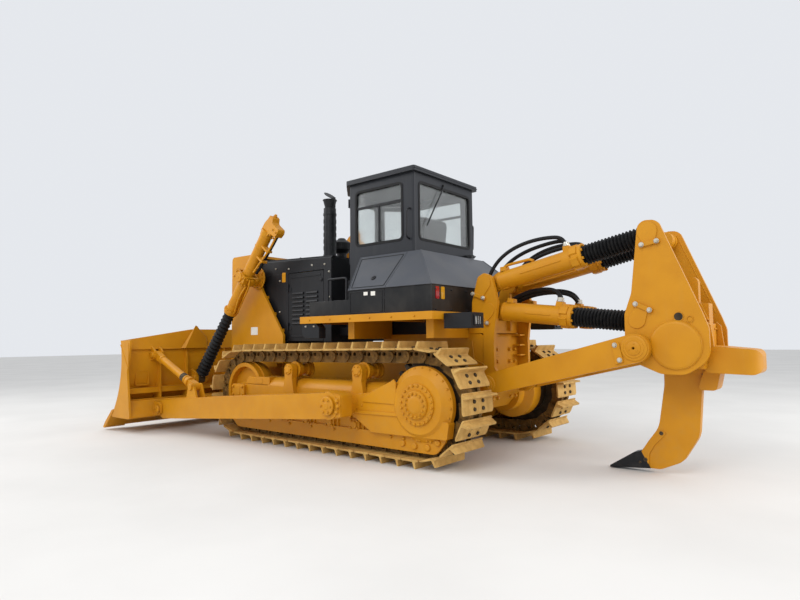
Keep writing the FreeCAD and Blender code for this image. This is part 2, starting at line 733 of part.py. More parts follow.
def engine_block():
    floor = CLEARANCE_UNDER_HULL + HULL_WALL
    sump = box((2620, ENGINE_X[1] - 150), (-SUMP_HALF_WIDTH, SUMP_HALF_WIDTH), (floor, 1150))
    block = box(ENGINE_X, (-ENGINE_HALF_WIDTH, ENGINE_HALF_WIDTH), (1100, ENGINE_TOP))
    return joined(sump, block)


# Radiator guard, hood and what stands on it

def radiator_guard():
    plate_y = (GUARD_OUTER_Y - GUARD_PLATE, GUARD_OUTER_Y)
    outline = [(3010, GUARD_BASE_Z), (GUARD_FRONT_X, GUARD_BASE_Z), (GUARD_FRONT_X, GUARD_TOP_Z, 60),
               (HOOD_FRONT_X + 40, GUARD_TOP_Z, 30), (HOOD_FRONT_X, HOOD_TOP_FRONT - 100, 30),
               (3515, 2100, 60), (3010, 1410, 60)]
    side = side_plate(outline, plate_y)
    boss = axle(GUARD_BOSS_RADIUS, LIFT_PIVOT[0], LIFT_PIVOT[1], (GUARD_OUTER_Y, GUARD_BOSS_Y))
    boss = boss.cut(axle(YOKE_STUB_RADIUS + PIN_GAP, LIFT_PIVOT[0], LIFT_PIVOT[1],
                         (GUARD_OUTER_Y, GUARD_BOSS_Y + 1)))
    pieces = []
    for shape in (side, boss):
        pieces += [shape, mirrored(shape)]
    inner = GUARD_OUTER_Y - GUARD_PLATE
    top = box((HOOD_FRONT_X + 60, GUARD_FRONT_X), (-inner, inner), (GUARD_TOP_Z - GUARD_PLATE, GUARD_TOP_Z))
    front = box((GUARD_FRONT_X - GUARD_PLATE, GUARD_FRONT_X), (-inner, inner), (GUARD_BASE_Z, GUARD_TOP_Z))
    mouth = cross_plate(grille_outline(0), (GUARD_FRONT_X - GUARD_PLATE - 1, GUARD_FRONT_X + 1))
    for x, z in ((3110, 1480), (3300, 1730), (3480, 1985)):
        rib = box((x - 25, x + 25), (HOOD_HALF_WIDTH + SEAT_GAP, inner), (z - 25, z + 25))
        pieces += [rib, mirrored(rib)]
    shroud_x = (HOOD_FRONT_X + SEAT_GAP, HOOD_FRONT_X + 14)
    shroud = box(shroud_x, (-inner, inner), (1500, HOOD_TOP_FRONT + 30))
    shroud = shroud.cut(box((HOOD_FRONT_X, HOOD_FRONT_X + 15), (-460, 460), (1499, 2460)))
    return joined(*pieces, top, front.cut(mouth), shroud)


def grille_outline(inset):
    """The rounded outline of the radiator guard's mouth, moved inward by inset."""
    half = GRILLE_HALF - inset
    low, high = GRILLE_Z[0] + inset, GRILLE_Z[1] - inset
    radius = 40 if inset < GRILLE_RIM else 20
    return [(-half, low, radius), (half, low, radius), (half, high, radius), (-half, high, radius)]


def grille():
    """A frame of upright bars set in the radiator guard's mouth."""
    x = (GUARD_FRONT_X - GUARD_PLATE, GUARD_FRONT_X - 8)
    rim = cross_plate(grille_outline(SEAT_GAP), x)
    rim = rim.cut(cross_plate(grille_outline(GRILLE_RIM), (x[0] - 1, x[1] + 1)))
    bar_z = (GRILLE_Z[0] + GRILLE_RIM - 5, GRILLE_Z[1] - GRILLE_RIM + 5)
    bars = [box((x[0] + 4, x[1] - 4), (y - 9, y + 9), bar_z) for y in range(-400, 401, 80)]
    belt_half = GRILLE_HALF - GRILLE_RIM + 5
    belt = box((x[0] + 6, x[1] - 6), (-belt_half, belt_half), (1800, 1850))
    return joined(rim, *bars, belt)


def radiator():
    near, far = RADIATOR_BEHIND_GUARD
    return box((GUARD_FRONT_X - far, GUARD_FRONT_X - near), (-540, 540), (CHANNEL_TOP + SEAT_GAP, 2560))


def hood():
    """The folded top sheet, open below and at its ends."""
    half = HOOD_HALF_WIDTH

    def shell(inset, low):
        top_front = HOOD_TOP_FRONT - inset
        top_rear = HOOD_TOP_REAR - inset
        sides = half - inset
        ends = []
        for x, top in ((HOOD_REAR_X, top_rear), (HOOD_FRONT_X, top_front)):
            corners = [V(x, -sides, low), V(x, sides, low), V(x, sides, top - 30), V(x, sides - 30, top),
                       V(x, -sides + 30, top), V(x, -sides, top - 30)]
            ends.append(Part.makePolygon(corners + corners[:1]))
        return Part.makeLoft(ends, True, True)

    low = HOOD_TOP_REAR - HOOD_SKIRT
    sheet = shell(0, low).cut(shell(HOOD_SHEET, low - 1))
    sheet = sheet.cut(post(STACK_RADIUS + 2, STACK_X, STACK_Y, (2400, 2700)))
    return sheet.cut(post(80, CLEANER_X, CLEANER_Y, (2400, 2700)))


def hinge_halves(x, y, z, moving_leaf, fixed_leaf):
    """An upright hinge: the moving knuckle, and the fixed one above it with the pin."""
    low = (z, z + KNUCKLE_HEIGHT)
    high = (z + KNUCKLE_HEIGHT + KNUCKLE_GAP, z + 2 * KNUCKLE_HEIGHT)
    bore = post(HINGE_PIN_RADIUS + PIN_GAP, x, y, (low[0] - 1, low[1] + 1))
    moving = joined(post(KNUCKLE_RADIUS, x, y, low), moving_leaf(low)).cut(bore)
    fixed = joined(post(KNUCKLE_RADIUS, x, y, high), post(HINGE_PIN_RADIUS, x, y, (low[0] - 4, high[1])),
                   fixed_leaf(high))
    return moving, fixed


def engine_hinges():
    """The halves of an engine door's hinges: (moving, fixed) for each height."""
    x = ENGINE_DOOR_X[1] + DOOR_GAP / 2
    leaf_y = (HOOD_HALF_WIDTH, HOOD_HALF_WIDTH + HINGE_LEAF)

    def on_door(z):
        return box((x - 60, x), leaf_y, z)

    def on_panel(z):
        return box((x, x + 55), leaf_y, z)

    return [hinge_halves(x, HOOD_HALF_WIDTH + HINGE_OUT, z, on_door, on_panel) for z in ENGINE_HINGE_Z]


def side_post():
    """The fixed side panels beside an engine door, with the bulkhead that joins the rear ones."""
    y = (HOOD_HALF_WIDTH - DOOR_SHEET, HOOD_HALF_WIDTH)
    low = HOOD_TOP_REAR - HOOD_SKIRT
    rear = side_plate([(HOOD_REAR_X, 1310), (ENGINE_DOOR_X[0] - DOOR_GAP, 1310),
                       (ENGINE_DOOR_X[0] - DOOR_GAP, low), (HOOD_REAR_X, low)], y)
    front = side_plate([(ENGINE_DOOR_X[1] + DOOR_GAP, 1310), (3080, 1310), (3540, 2050),
                        (3620, low), (ENGINE_DOOR_X[1] + DOOR_GAP, low)], y)
    front = joined(front, *[fixed for moving, fixed in engine_hinges()])
    top = HOOD_TOP_REAR - HOOD_SHEET - 4
    bulkhead = cross_plate([(-y[0], 1310), (y[0], 1310), (y[0], top - 50), (y[0] - 50, top),
                            (50 - y[0], top), (-y[0], top - 50)], (HOOD_REAR_X, HOOD_REAR_X + BULKHEAD))
    return Part.makeCompound([joined(rear, mirrored(rear), bulkhead), front, mirrored(front)])


def engine_door():
    """A flat side door with two pressed ribs, hinged at its front edge."""
    y = (HOOD_HALF_WIDTH - DOOR_SHEET, HOOD_HALF_WIDTH)
    x = ENGINE_DOOR_X
    z = (ENGINE_DOOR_Z[0], ENGINE_DOOR_Z[1])
    panel = side_plate([(x[0], z[0], 20), (x[1], z[0], 20), (x[1], z[1], 20), (x[0], z[1], 20)], y)
    ribs = [box((x[0] + 120, x[1] - 120), (y[0] - 14, y[0]), (level, level + 40))
            for level in (z[0] + 220, z[1] - 260)]
    return joined(panel, *ribs, *[moving for moving, fixed in engine_hinges()])


def exhaust_stack():
    """A pipe whose mouth flares out below a hinged rain cap."""
    foot = HOOD_TOP_REAR - 420
    mouth = STACK_BODY_TOP + STACK_MOUTH_HEIGHT
    body = post(STACK_RADIUS, STACK_X, STACK_Y, (foot, STACK_BODY_TOP))
    lip = Part.makeCone(STACK_NECK_RADIUS, STACK_MOUTH_RADIUS, STACK_MOUTH_HEIGHT,
                        V(STACK_X, STACK_Y, STACK_BODY_TOP))
    bore = Part.makeCone(STACK_NECK_RADIUS - STACK_WALL, STACK_MOUTH_RADIUS - STACK_WALL,
                         STACK_MOUTH_HEIGHT + 1, V(STACK_X, STACK_Y, STACK_BODY_TOP))
    well = post(STACK_NECK_RADIUS - STACK_WALL, STACK_X, STACK_Y, (STACK_BODY_TOP - 200, STACK_BODY_TOP))
    cap = Part.makeCylinder(STACK_RADIUS, 8)
    cap.rotate(V(0, 0, 0), V(0, 1, 0), -38)
    cap.translate(V(STACK_X + 4, STACK_Y, mouth + 62))
    hinge = box((STACK_X - STACK_MOUTH_RADIUS - 8, STACK_X - STACK_NECK_RADIUS + 8),
                (STACK_Y - 12, STACK_Y + 12), (STACK_BODY_TOP, mouth + 25))
    elbow = box((STACK_X - 70, STACK_X + 70), (STACK_Y - 70, STACK_Y + 70), (ENGINE_TOP, foot))
    pipe = joined(body, lip, elbow, hinge.cut(post(STACK_NECK_RADIUS, STACK_X, STACK_Y, (foot, mouth + 1))))
    return joined(pipe.cut([bore, well]), cap)


def air_precleaner():
    neck = post(76, CLEANER_X, CLEANER_Y, (ENGINE_TOP, CLEANER_TOP - 190))
    bowl = Part.makeCone(90, CLEANER_RADIUS, 60, V(CLEANER_X, CLEANER_Y, CLEANER_TOP - 220))
    drum = post(CLEANER_RADIUS, CLEANER_X, CLEANER_Y, (CLEANER_TOP - 160, CLEANER_TOP - 60))
    dome = Part.makeCone(CLEANER_RADIUS, 60, 60, V(CLEANER_X, CLEANER_Y, CLEANER_TOP - 60))
    return joined(neck, bowl, drum, dome)


# Cab

def cab_plan(inset):
    """The cab's six-sided plan, moved inward by inset."""
    way = math.atan2(CAB_HALF_WIDTH - CAB_FRONT_HALF, CAB_FRONT_X - CAB_SIDE_X)
    side_x = CAB_SIDE_X - inset * math.tan(way / 2)
    front_half = CAB_FRONT_HALF - inset * math.tan((math.pi / 2 - way) / 2)
    half = CAB_HALF_WIDTH - inset
    return [(CAB_REAR_X + inset, -half, 30), (side_x, -half, 30), (CAB_FRONT_X - inset, -front_half, 20),
            (CAB_FRONT_X - inset, front_half, 20), (side_x, half, 30), (CAB_REAR_X + inset, half, 30)]


def corner_way():
    """The direction along the left front face, and its outward normal."""
    dx = CAB_FRONT_X - CAB_SIDE_X
    dy = CAB_FRONT_HALF - CAB_HALF_WIDTH
    size = math.hypot(dx, dy)
    return (dx / size, dy / size), (-dy / size, dx / size), size


def on_corner(along, out, z):
    """A block on the cab's left front face: ranges along it, out of it and in height."""
    (tx, ty), (nx, ny), size = corner_way()
    corners = []
    for a, b in ((along[0], out[0]), (along[1], out[0]), (along[1], out[1]), (along[0], out[1])):
        corners.append((CAB_SIDE_X + tx * a + nx * b, CAB_HALF_WIDTH + ty * a + ny * b))
    return floor_plate(corners, z)


def door_span():
    size = corner_way()[2]
    return (38, size - 34)


def window_hole(kind, grow):
    """The opening of a cab window, grown by a margin, passing right through its wall."""
    g = grow
    low = SILL - g
    high = WINDOW_TOP + g
    r = CORNER_RADIUS + g
    if kind == "side":
        x = SIDE_WINDOW_X
        corners = [(x[0] - g, low, r), (x[1] + g, low, r), (x[1] + g, high, r), (x[0] - g, high, r)]
        return side_plate(corners, (CAB_HALF_WIDTH - CAB_WALL - 5, CAB_HALF_WIDTH + 5))
    half = (REAR_WINDOW_HALF if kind == "rear" else FRONT_WINDOW_HALF) + g
    if kind == "front":
        low -= FRONT_WINDOW_DROP
    corners = [(-half, low, r), (half, low, r), (half, high, r), (-half, high, r)]
    edge = CAB_REAR_X if kind == "rear" else CAB_FRONT_X - CAB_WALL
    return cross_plate(corners, (edge - 5, edge + CAB_WALL + 5))


def cab_hinges():
    """The halves of a cab door's hinges: (moving, fixed) for each height."""
    (tx, ty), (nx, ny), size = corner_way()
    place = door_span()[0] - DOOR_GAP / 2
    x = CAB_SIDE_X + tx * place + nx * HINGE_OUT
    y = CAB_HALF_WIDTH + ty * place + ny * HINGE_OUT

    def on_door(z):
        return on_corner((place, place + 45), (0, HINGE_LEAF), z)

    def on_jamb(z):
        return on_corner((place - 26, place), (-1, HINGE_LEAF), z)

    return [hinge_halves(x, y, z, on_door, on_jamb) for z in CAB_HINGE_Z]


def cab_frame():
    """Hollow walls and floor, with windows and both doorways cut."""
    shell = floor_plate(cab_plan(0), (CAB_FLOOR, CAB_EAVES))
    room = floor_plate(cab_plan(CAB_WALL), (CAB_FLOOR + 40, CAB_EAVES + 1))
    holes = [window_hole("side", 0), mirrored(window_hole("side", 0)), window_hole("rear", 0),
             window_hole("front", 0)]
    span = door_span()
    doorway = on_corner((span[0] - DOOR_GAP, span[1] + DOOR_GAP), (-CAB_WALL - 40, 5),
                        (DOOR_BOTTOM + 12, DOOR_TOP + DOOR_GAP))
    rebate = on_corner((span[0] - DOOR_GAP, span[1] + DOOR_GAP), (-DOOR_THICKNESS + 10, 5),
                       (DOOR_BOTTOM - DOOR_GAP, DOOR_TOP + DOOR_GAP))
    holes += [doorway, mirrored(doorway), rebate, mirrored(rebate)]
    fixed = [half[1] for half in cab_hinges()]
    return joined(shell.cut(room).cut(holes), *fixed, *[mirrored(half) for half in fixed])


def cab_roof():
    rim = -ROOF_OVERHANG
    return floor_plate(cab_plan(rim), (CAB_EAVES, CAB_EAVES + ROOF_THICKNESS))


def cab_glass():
    """Panes in the rear, side and front windows, sunk in the middle of their walls."""
    panes = []
    middle = CAB_WALL / 2
    side = window_hole("side", -SEAT_GAP)
    y = CAB_HALF_WIDTH - middle
    side = side.common(box((CAB_REAR_X, CAB_FRONT_X), (y - GLASS / 2, y + GLASS / 2), (CAB_FLOOR, CAB_EAVES)))
    panes += [side, mirrored(side)]
    for kind, x in (("rear", CAB_REAR_X + middle), ("front", CAB_FRONT_X - middle)):
        slab = box((x - GLASS / 2, x + GLASS / 2), (-CAB_HALF_WIDTH, CAB_HALF_WIDTH), (CAB_FLOOR, CAB_EAVES))
        panes.append(window_hole(kind, -SEAT_GAP).common(slab))
    return Part.makeCompound(panes)


def cab_door():
    """The door in the left front face, with its window cut."""
    span = door_span()
    panel = on_corner(span, (-DOOR_THICKNESS + 15, 0), (DOOR_BOTTOM, DOOR_TOP))
    window = on_corner((span[0] + DOOR_RAIL, span[1] - DOOR_RAIL), (-DOOR_THICKNESS, 5),
                       (DOOR_GLASS_BOTTOM, DOOR_TOP - DOOR_RAIL))
    handle = on_corner((span[1] - 48, span[1] - 24), (0, 28), (2380, 2560))
    return joined(panel.cut(window), handle, *[moving for moving, fixed in cab_hinges()])


def door_glass():
    span = door_span()
    gap = SEAT_GAP
    middle = (-DOOR_THICKNESS + 15) / 2
    return on_corner((span[0] + DOOR_RAIL + gap, span[1] - DOOR_RAIL - gap),
                     (middle - GLASS / 2, middle + GLASS / 2),
                     (DOOR_GLASS_BOTTOM + gap, DOOR_TOP - DOOR_RAIL - gap))


def seat():
    floor = CAB_FLOOR + 40
    base = box((900, 1240), (-170, 170), (floor, floor + 300))
    cushion = side_plate([(850, floor + 300), (1380, floor + 300, 40), (1400, floor + 430, 50),
                          (850, floor + 400)], (-260, 260))
    back = side_plate([(770, floor + 330, 40), (900, floor + 400, 10), (820, floor + 1010, 50),
                       (690, floor + 990, 50)], (-240, 240))
    return joined(base, cushion, back)


def console():
    """The dash in front of the seat, and an armrest box with its lever on each side."""
    floor = CAB_FLOOR + 40
    solids = [side_plate([(1700, floor), (1900, floor), (1900, floor + 560, 40), (1760, floor + 600, 40)],
                         (-230, 230))]
    for side in (1, -1):
        rest = box((900, 1400), sorted((side * 300, side * 420)), (floor, floor + 520))
        stick = post(14, 1340, side * 360, (floor + 520, floor + 740))
        knob = Part.makeSphere(30, V(1340, side * 360, floor + 755))
        solids.append(joined(rest, stick, knob))
    return Part.makeCompound(solids)


# Tank, boxes and fenders

def slope_block(x_low, x_high, x_top_low, x_top_high, y_low, y_high, y_top_low, y_top_high):
    """A block that is upright up to the break line and leans in above it."""
    def ring(xa, xb, ya, yb, z):
        corners = [V(xa, ya, z), V(xb, ya, z), V(xb, yb, z), V(xa, yb, z)]
        return Part.makePolygon(corners + corners[:1])

    lower = box((x_low, x_high), (y_low, y_high), (DECK_TOP, BOX_BREAK_Z))
    upper = Part.makeLoft([ring(x_low, x_high, y_low, y_high, BOX_BREAK_Z),
                           ring(x_top_low, x_top_high, y_top_low, y_top_high, BOX_TOP_Z)], True, True)
    return joined(lower, upper)


def fuel_tank():
    x_front = CAB_REAR_X - 10
    tank = slope_block(TANK_REAR_X, TANK_FRONT_X, TANK_TOP_REAR_X, TANK_FRONT_X,
                       -BOX_OUTER_Y, BOX_OUTER_Y, -BOX_TOP_Y, BOX_TOP_Y)
    cab_room = box((x_front, TANK_FRONT_X + 1), (-CAB_HALF_WIDTH - 10, CAB_HALF_WIDTH + 10),
                   (DECK_TOP - 1, BOX_TOP_Z + 1))
    filler = post(60, 480, -450, (BOX_TOP_Z - 20, BOX_TOP_Z + 40))
    return joined(tank.cut(cab_room), filler)


def side_box():
    """The box beside the cab, in front of the tank."""
    shape = slope_block(TANK_FRONT_X + 6, BOX_FRONT_X, TANK_FRONT_X + 6, BOX_FRONT_X + 200,
                        CAB_HALF_WIDTH + 10, BOX_OUTER_Y, CAB_HALF_WIDTH + 10, BOX_TOP_Y)
    step = box((BOX_FRONT_X, FENDER_FRONT_X), (CAB_HALF_WIDTH + 10, BOX_OUTER_Y), (DECK_TOP, STEP_TOP))
    return joined(shape, step)


def fender():
    """The deck over the track, with its turned-down outer edge."""
    plate = box((FENDER_REAR_X, FENDER_FRONT_X), (FENDER_INNER_Y, FENDER_OUTER_Y), (DECK_TOP - 20, DECK_TOP))
    edge = box((FENDER_REAR_X, FENDER_FRONT_X), (FENDER_OUTER_Y - 20, FENDER_OUTER_Y), (DECK_Z, DECK_TOP))
    ribs = [box((x, x + 14), (FENDER_INNER_Y, FENDER_OUTER_Y), (DECK_Z, DECK_TOP))
            for x in (FENDER_REAR_X, 560, FENDER_FRONT_X - 14)]
    return joined(plate, edge, *ribs)


def cab_base():
    """The plinth that carries the cab on the hull's rear case."""
    half = HULL_HALF_WIDTH - HULL_WALL
    plinth = box((CAB_REAR_X + 20, CAB_FRONT_X), (-half, half), (CASE_TOP, CAB_FLOOR))
    shelf = box((CAB_FRONT_X - 60, HOOD_REAR_X - SEAT_GAP), (-half, half), (CASE_TOP, CASE_TOP + 110))
    return joined(plinth, shelf)


def lamp_boxes():
    body = box(LAMP_BOX_X, LAMP_BOX_Y, LAMP_BOX_Z)
    stay = box((LAMP_BOX_X[1], FENDER_REAR_X), (LAMP_BOX_Y[0] + 60, LAMP_BOX_Y[1] - 60),
               (DECK_Z + 5, LAMP_BOX_Z[1] - 10))
    return both_sides(joined(body, stay))


# Blade

def face_arc(offset):
    """Three points of the mouldboard's hollow face, moved back by offset."""
    top = V(BLADE_TOP_X - offset, BLADE_CENTRE_TOP, 0)
    foot = V(BLADE_FOOT[0] - offset, BLADE_FOOT[1], 0)
    middle = (top + foot) * 0.5
    half = (top - foot).Length / 2
    sagitta = BLADE_RADIUS - math.sqrt(BLADE_RADIUS ** 2 - half ** 2)
    way = V(-(top.y - foot.y), top.x - foot.x, 0)
    way.normalize()
    return foot, middle + way * sagitta, top


def mouldboard():
    foot, mid, top = face_arc(0)
    back_foot, back_mid, back_top = face_arc(BLADE_PLATE)
    ring = [Part.Arc(foot, mid, top).toShape(), Part.makeLine(top, back_top),
            Part.Arc(back_top, back_mid, back_foot).toShape(), Part.makeLine(back_foot, foot)]
    face = Part.Face(Part.Wire(ring))
    face.rotate(V(0, 0, 0), V(1, 0, 0), 90)
    face.translate(V(0, BLADE_HALF_WIDTH, 0))
    return face.extrude(V(0, -2 * BLADE_HALF_WIDTH, 0))


def ahead_of_face():
    """All the room in front of the mouldboard's hollow face."""
    foot, mid, top = face_arc(0)
    far = FRONT_END + 100
    ring = [Part.Arc(foot, mid, top).toShape(), Part.makeLine(top, V(far, top.y, 0)),
            Part.makeLine(V(far, top.y, 0), V(far, foot.y, 0)), Part.makeLine(V(far, foot.y, 0), foot)]
    face = Part.Face(Part.Wire(ring))
    face.rotate(V(0, 0, 0), V(1, 0, 0), 90)
    face.translate(V(0, BLADE_HALF_WIDTH + 1, 0))
    return face.extrude(V(0, -2 * BLADE_HALF_WIDTH - 2, 0))


def blade_trim():
    """What the sloping ends of the top edge leave of the blade's height."""
    z = 100
    top = BLADE_CENTRE_TOP
    end = BLADE_END_TOP
    corners = [(-BLADE_HALF_WIDTH - 1, z), (BLADE_HALF_WIDTH + 1, z), (BLADE_HALF_WIDTH + 1, end),
               (BLADE_FLAT_HALF, top), (-BLADE_FLAT_HALF, top), (-BLADE_HALF_WIDTH - 1, end)]
    return cross_plate(corners, (ARM_JOINT[0] - 200, FRONT_END + 200))


def strut_lugs(middle_y):
    """Where the two lugs beside a brace's eye begin."""
    reach = STRUT_EYE_HALF + SEAT_GAP
    return middle_y - reach - STRUT_LUG, middle_y + reach


def arm_ears():
    """The two ears and the pin that hold the left push arm's front end."""
    x, z = ARM_JOINT
    ears = []
    for low in (ARM_INNER_Y - ARM_EAR_GAP - ARM_EAR, ARM_INNER_Y + ARM_WIDTH + ARM_EAR_GAP):
        ears.append(side_plate([(LOW_RAIL_X + 40, 225), (LOW_RAIL_X + 40, 455), (x - 60, z + 85, 70),
                                (x - 60, z - 75, 60)], (low, low + ARM_EAR)))
    reach = ARM_EAR_GAP + ARM_EAR + 18
    pin = axle(ARM_JOINT_RADIUS, x, z, (ARM_INNER_Y - reach, ARM_INNER_Y + ARM_WIDTH + reach))
    return ears + [pin]


def blade_lugs():
    """The left lugs of the lift rod and of the brace, and the folded guard over the top edge."""
    pieces = arm_ears()
    reach = EYE_WIDTH / 2 + LUG_GAP
    x, z = LIFT_EYE
    for low in (LIFT_Y - reach - LUG_THICKNESS, LIFT_Y + reach):
        pieces.append(side_plate([(5060, z - 170), (5060, z + 190), (x - 40, z + 80, 70),
                                  (x - 80, z - 60, 70)], (low, low + LUG_THICKNESS)))
    for low in strut_lugs(STRUT_Y):
        pieces.append(side_plate([(5000, 1040), (5050, 1260), (4940, 1260, 20), (4830, 1190, 50),
                                  (4830, 1070, 50)], (low, low + STRUT_LUG)))
    guard = cross_plate([(SIGHT_GUARD_Y - SIGHT_GUARD_HALF, 1215), (SIGHT_GUARD_Y + SIGHT_GUARD_HALF, 1215),
                         (SIGHT_GUARD_Y, 1600, 20)], (4925, 4950))
    keel = side_plate([(4950, 1225), (4950, 1560), (4990, 1225)], (SIGHT_GUARD_Y - 8, SIGHT_GUARD_Y + 8))
    return pieces + [guard, keel]


def blade():
    """The mouldboard with its rails, ribs, end plates and the lugs for arms and cylinders."""
    wide = (-BLADE_HALF_WIDTH, BLADE_HALF_WIDTH)
    foot_x, foot_z = BLADE_FOOT
    top_rail = side_plate([(TOP_RAIL_BACK, TOP_RAIL_Z), (BLADE_TOP_X - 30, TOP_RAIL_Z),
                           (BLADE_TOP_X - 15, BLADE_BLANK_TOP), (BLADE_TOP_X - 35, BLADE_BLANK_TOP)], wide)
    mid_rail = box(MID_RAIL_X, wide, MID_RAIL_Z)
    low_rail = side_plate([(LOW_RAIL_X, foot_z - 10, 20), (foot_x - 30, foot_z - 10),
                           (foot_x - 130, LOW_RAIL_TOP), (LOW_RAIL_X + 160, LOW_RAIL_TOP, 40)], wide)
    pieces = [mouldboard(), top_rail, low_rail, mid_rail]
    for side in (-1, 1):
        end_y = sorted((side * BLADE_HALF_WIDTH, side * (BLADE_HALF_WIDTH - 30)))
        pieces.append(side_plate([(LOW_RAIL_X - 10, foot_z - 10, 30), (foot_x - 20, foot_z - 10),
                                  (BLADE_TOP_X, BLADE_BLANK_TOP), (LOW_RAIL_X + 40, BLADE_BLANK_TOP),
                                  (LOW_RAIL_X + 20, TOP_RAIL_Z + 33), (LOW_RAIL_X + 100, 900, 200)], end_y))
    for rib in BLADE_RIBS:
        pieces.append(side_plate([(BLADE_RIB_BACK, BLADE_RIB_FOOT), (foot_x - 160, BLADE_RIB_FOOT),
                                  (BLADE_TOP_X + 5, TOP_RAIL_Z + 15), (TOP_RAIL_BACK + 10, TOP_RAIL_Z + 15),
                                  (BLADE_RIB_BACK + 30, 1100, 60)],
                                 (rib - BLADE_RIB_HALF, rib + BLADE_RIB_HALF)))
    body = joined(*pieces).common(blade_trim())
    lugs = blade_lugs()
    lugs += [mirrored(lug) for lug in lugs]
    return joined(body, *lugs).cut(ahead_of_face())


def cutting_edge():
    """The edge plate in front of the mouldboard's foot, leaning forward down to the tip."""
    tip = (FRONT_END, EDGE_TIP_Z)
    lean = math.radians(EDGE_LEAN)
    up = (-math.sin(lean), math.cos(lean))
    top = (tip[0] + up[0] * EDGE_HEIGHT, tip[1] + up[1] * EDGE_HEIGHT)
    corners = [tip, top, (top[0] - EDGE_THICKNESS * up[1], top[1] + EDGE_THICKNESS * up[0]),
               (tip[0] - EDGE_THICKNESS / up[1], tip[1])]
    return side_plate(corners, (-BLADE_HALF_WIDTH, BLADE_HALF_WIDTH)).cut(mouldboard())


def push_arm():
    """A box beam whose rear head turns on the track frame's pin."""
    y = (ARM_INNER_Y, ARM_INNER_Y + ARM_WIDTH)
    head = axle(ARM_HEAD_RADIUS, ARM_PIVOT_X, ARM_PIVOT_Z, y)
    front_x = LOW_RAIL_X - SEAT_GAP
    slope = math.atan2(ARM_FRONT_Z - ARM_PIVOT_Z, front_x - ARM_PIVOT_X)
    half = ARM_DEPTH / 2
    nx, nz = -math.sin(slope) * half, math.cos(slope) * half
    beam = side_plate([(ARM_PIVOT_X - nx, ARM_PIVOT_Z - nz), (front_x - 160, ARM_FRONT_Z - nz + 10),
                       (front_x, ARM_FRONT_Z - nz + 70), (front_x, ARM_FRONT_Z + nz - 40),
                       (front_x - 160, ARM_FRONT_Z + nz), (ARM_PIVOT_X + nx, ARM_PIVOT_Z + nz)], y)
    cap = side_plate([(ARM_PIVOT_X - 185, ARM_PIVOT_Z - 120, 30), (ARM_PIVOT_X + 60, ARM_PIVOT_Z - 160, 20),
                      (ARM_PIVOT_X + 60, ARM_PIVOT_Z + 160, 20), (ARM_PIVOT_X - 185, ARM_PIVOT_Z + 120, 30)],
                     (y[0] + 20, y[1] - 20))
    bores = [axle(ARM_PIN_RADIUS + PIN_GAP, ARM_PIVOT_X, ARM_PIVOT_Z, (y[0] - 1, y[1] + 1)),
             axle(ARM_JOINT_RADIUS + PIN_GAP, ARM_JOINT[0], ARM_JOINT[1], (y[0] - 1, y[1] + 1))]
    foot_x, foot_z = STRUT_FOOT
    lug = [side_plate([(foot_x - 190, foot_z - 260), (foot_x + 150, foot_z - 280),
                       (foot_x + 60, foot_z + 50, 50), (foot_x - 60, foot_z + 50, 50)],
                      (low, low + STRUT_LUG)) for low in strut_lugs(STRUT_Y)]
    return joined(beam, head, cap, *lug).cut(bores)


def strut_ends(middle_y):
    """The flat eyes of a brace, reaching from both pins into its tube."""
    y = (middle_y - STRUT_EYE_HALF, middle_y + STRUT_EYE_HALF)
    length = math.dist(STRUT_TOP, STRUT_FOOT)
    inward = [along(a, b, length * 0.2, 0) for a, b in ((STRUT_TOP, STRUT_FOOT), (STRUT_FOOT, STRUT_TOP))]
    ends = zip((STRUT_TOP, STRUT_FOOT), inward)
    return [strap(pin, 60, (point.x, point.z), 40, y) for pin, point in ends]


def strut():
    """The left brace tube between the blade's top and the push arm."""
    top = V(STRUT_TOP[0], STRUT_Y, STRUT_TOP[1])
    foot = V(STRUT_FOOT[0], STRUT_Y, STRUT_FOOT[1])
    way = top - foot
    return joined(bar(STRUT_RADIUS, foot + way * 0.14, top - way * 0.14), *strut_ends(STRUT_Y))


def tilt_cylinder():
    """The hydraulic brace on the right: a barrel below and its rod above."""
    top = V(STRUT_TOP[0], -STRUT_Y, STRUT_TOP[1])
    foot = V(STRUT_FOOT[0], -STRUT_Y, STRUT_FOOT[1])
    way = top - foot
    barrel = bar(STRUT_RADIUS + 33, foot + way * 0.14, foot + way * 0.66)
    rod = bar(STRUT_RADIUS - 10, foot + way * 0.5, top - way * 0.14)
    return joined(rod, barrel, *strut_ends(-STRUT_Y))


def along(start, end, distance, y):
    """A point on the line from start to end in the XZ plane, at a distance from start."""
    size = math.dist(start, end)
    return V(start[0] + (end[0] - start[0]) * distance / size, y,
             start[1] + (end[1] - start[1]) * distance / size)


def lift_yoke():
    """The square frame round a lift barrel, with its cross pins and the stub that turns in the guard."""
    way = V(LIFT_EYE[0] - LIFT_PIVOT[0], 0, LIFT_EYE[1] - LIFT_PIVOT[1])
    way.normalize()
    out = V(-way.z, 0, way.x)
    middle = V(LIFT_PIVOT[0], LIFT_Y, LIFT_PIVOT[1])

    def slab(half_depth, half):
        solid = box((-half_depth, half_depth), (-half, half), (-half, half))
        solid.rotate(V(0, 0, 0), V(0, 1, 0), -math.degrees(math.atan2(way.z, way.x)))
        solid.translate(middle)
        return solid

    frame = slab(YOKE_HALF_DEPTH, YOKE_HALF).cut(slab(YOKE_HALF_DEPTH + 1, YOKE_OPENING_HALF))
    pin_reach = out * (YOKE_HALF + 16)
    pins = bar(YOKE_PIN_RADIUS, middle - pin_reach, middle + pin_reach)
    stub = axle(YOKE_STUB_RADIUS, LIFT_PIVOT[0], LIFT_PIVOT[1],
                (GUARD_OUTER_Y + SEAT_GAP, LIFT_Y - YOKE_OPENING_HALF))
    return [frame, pins, stub]


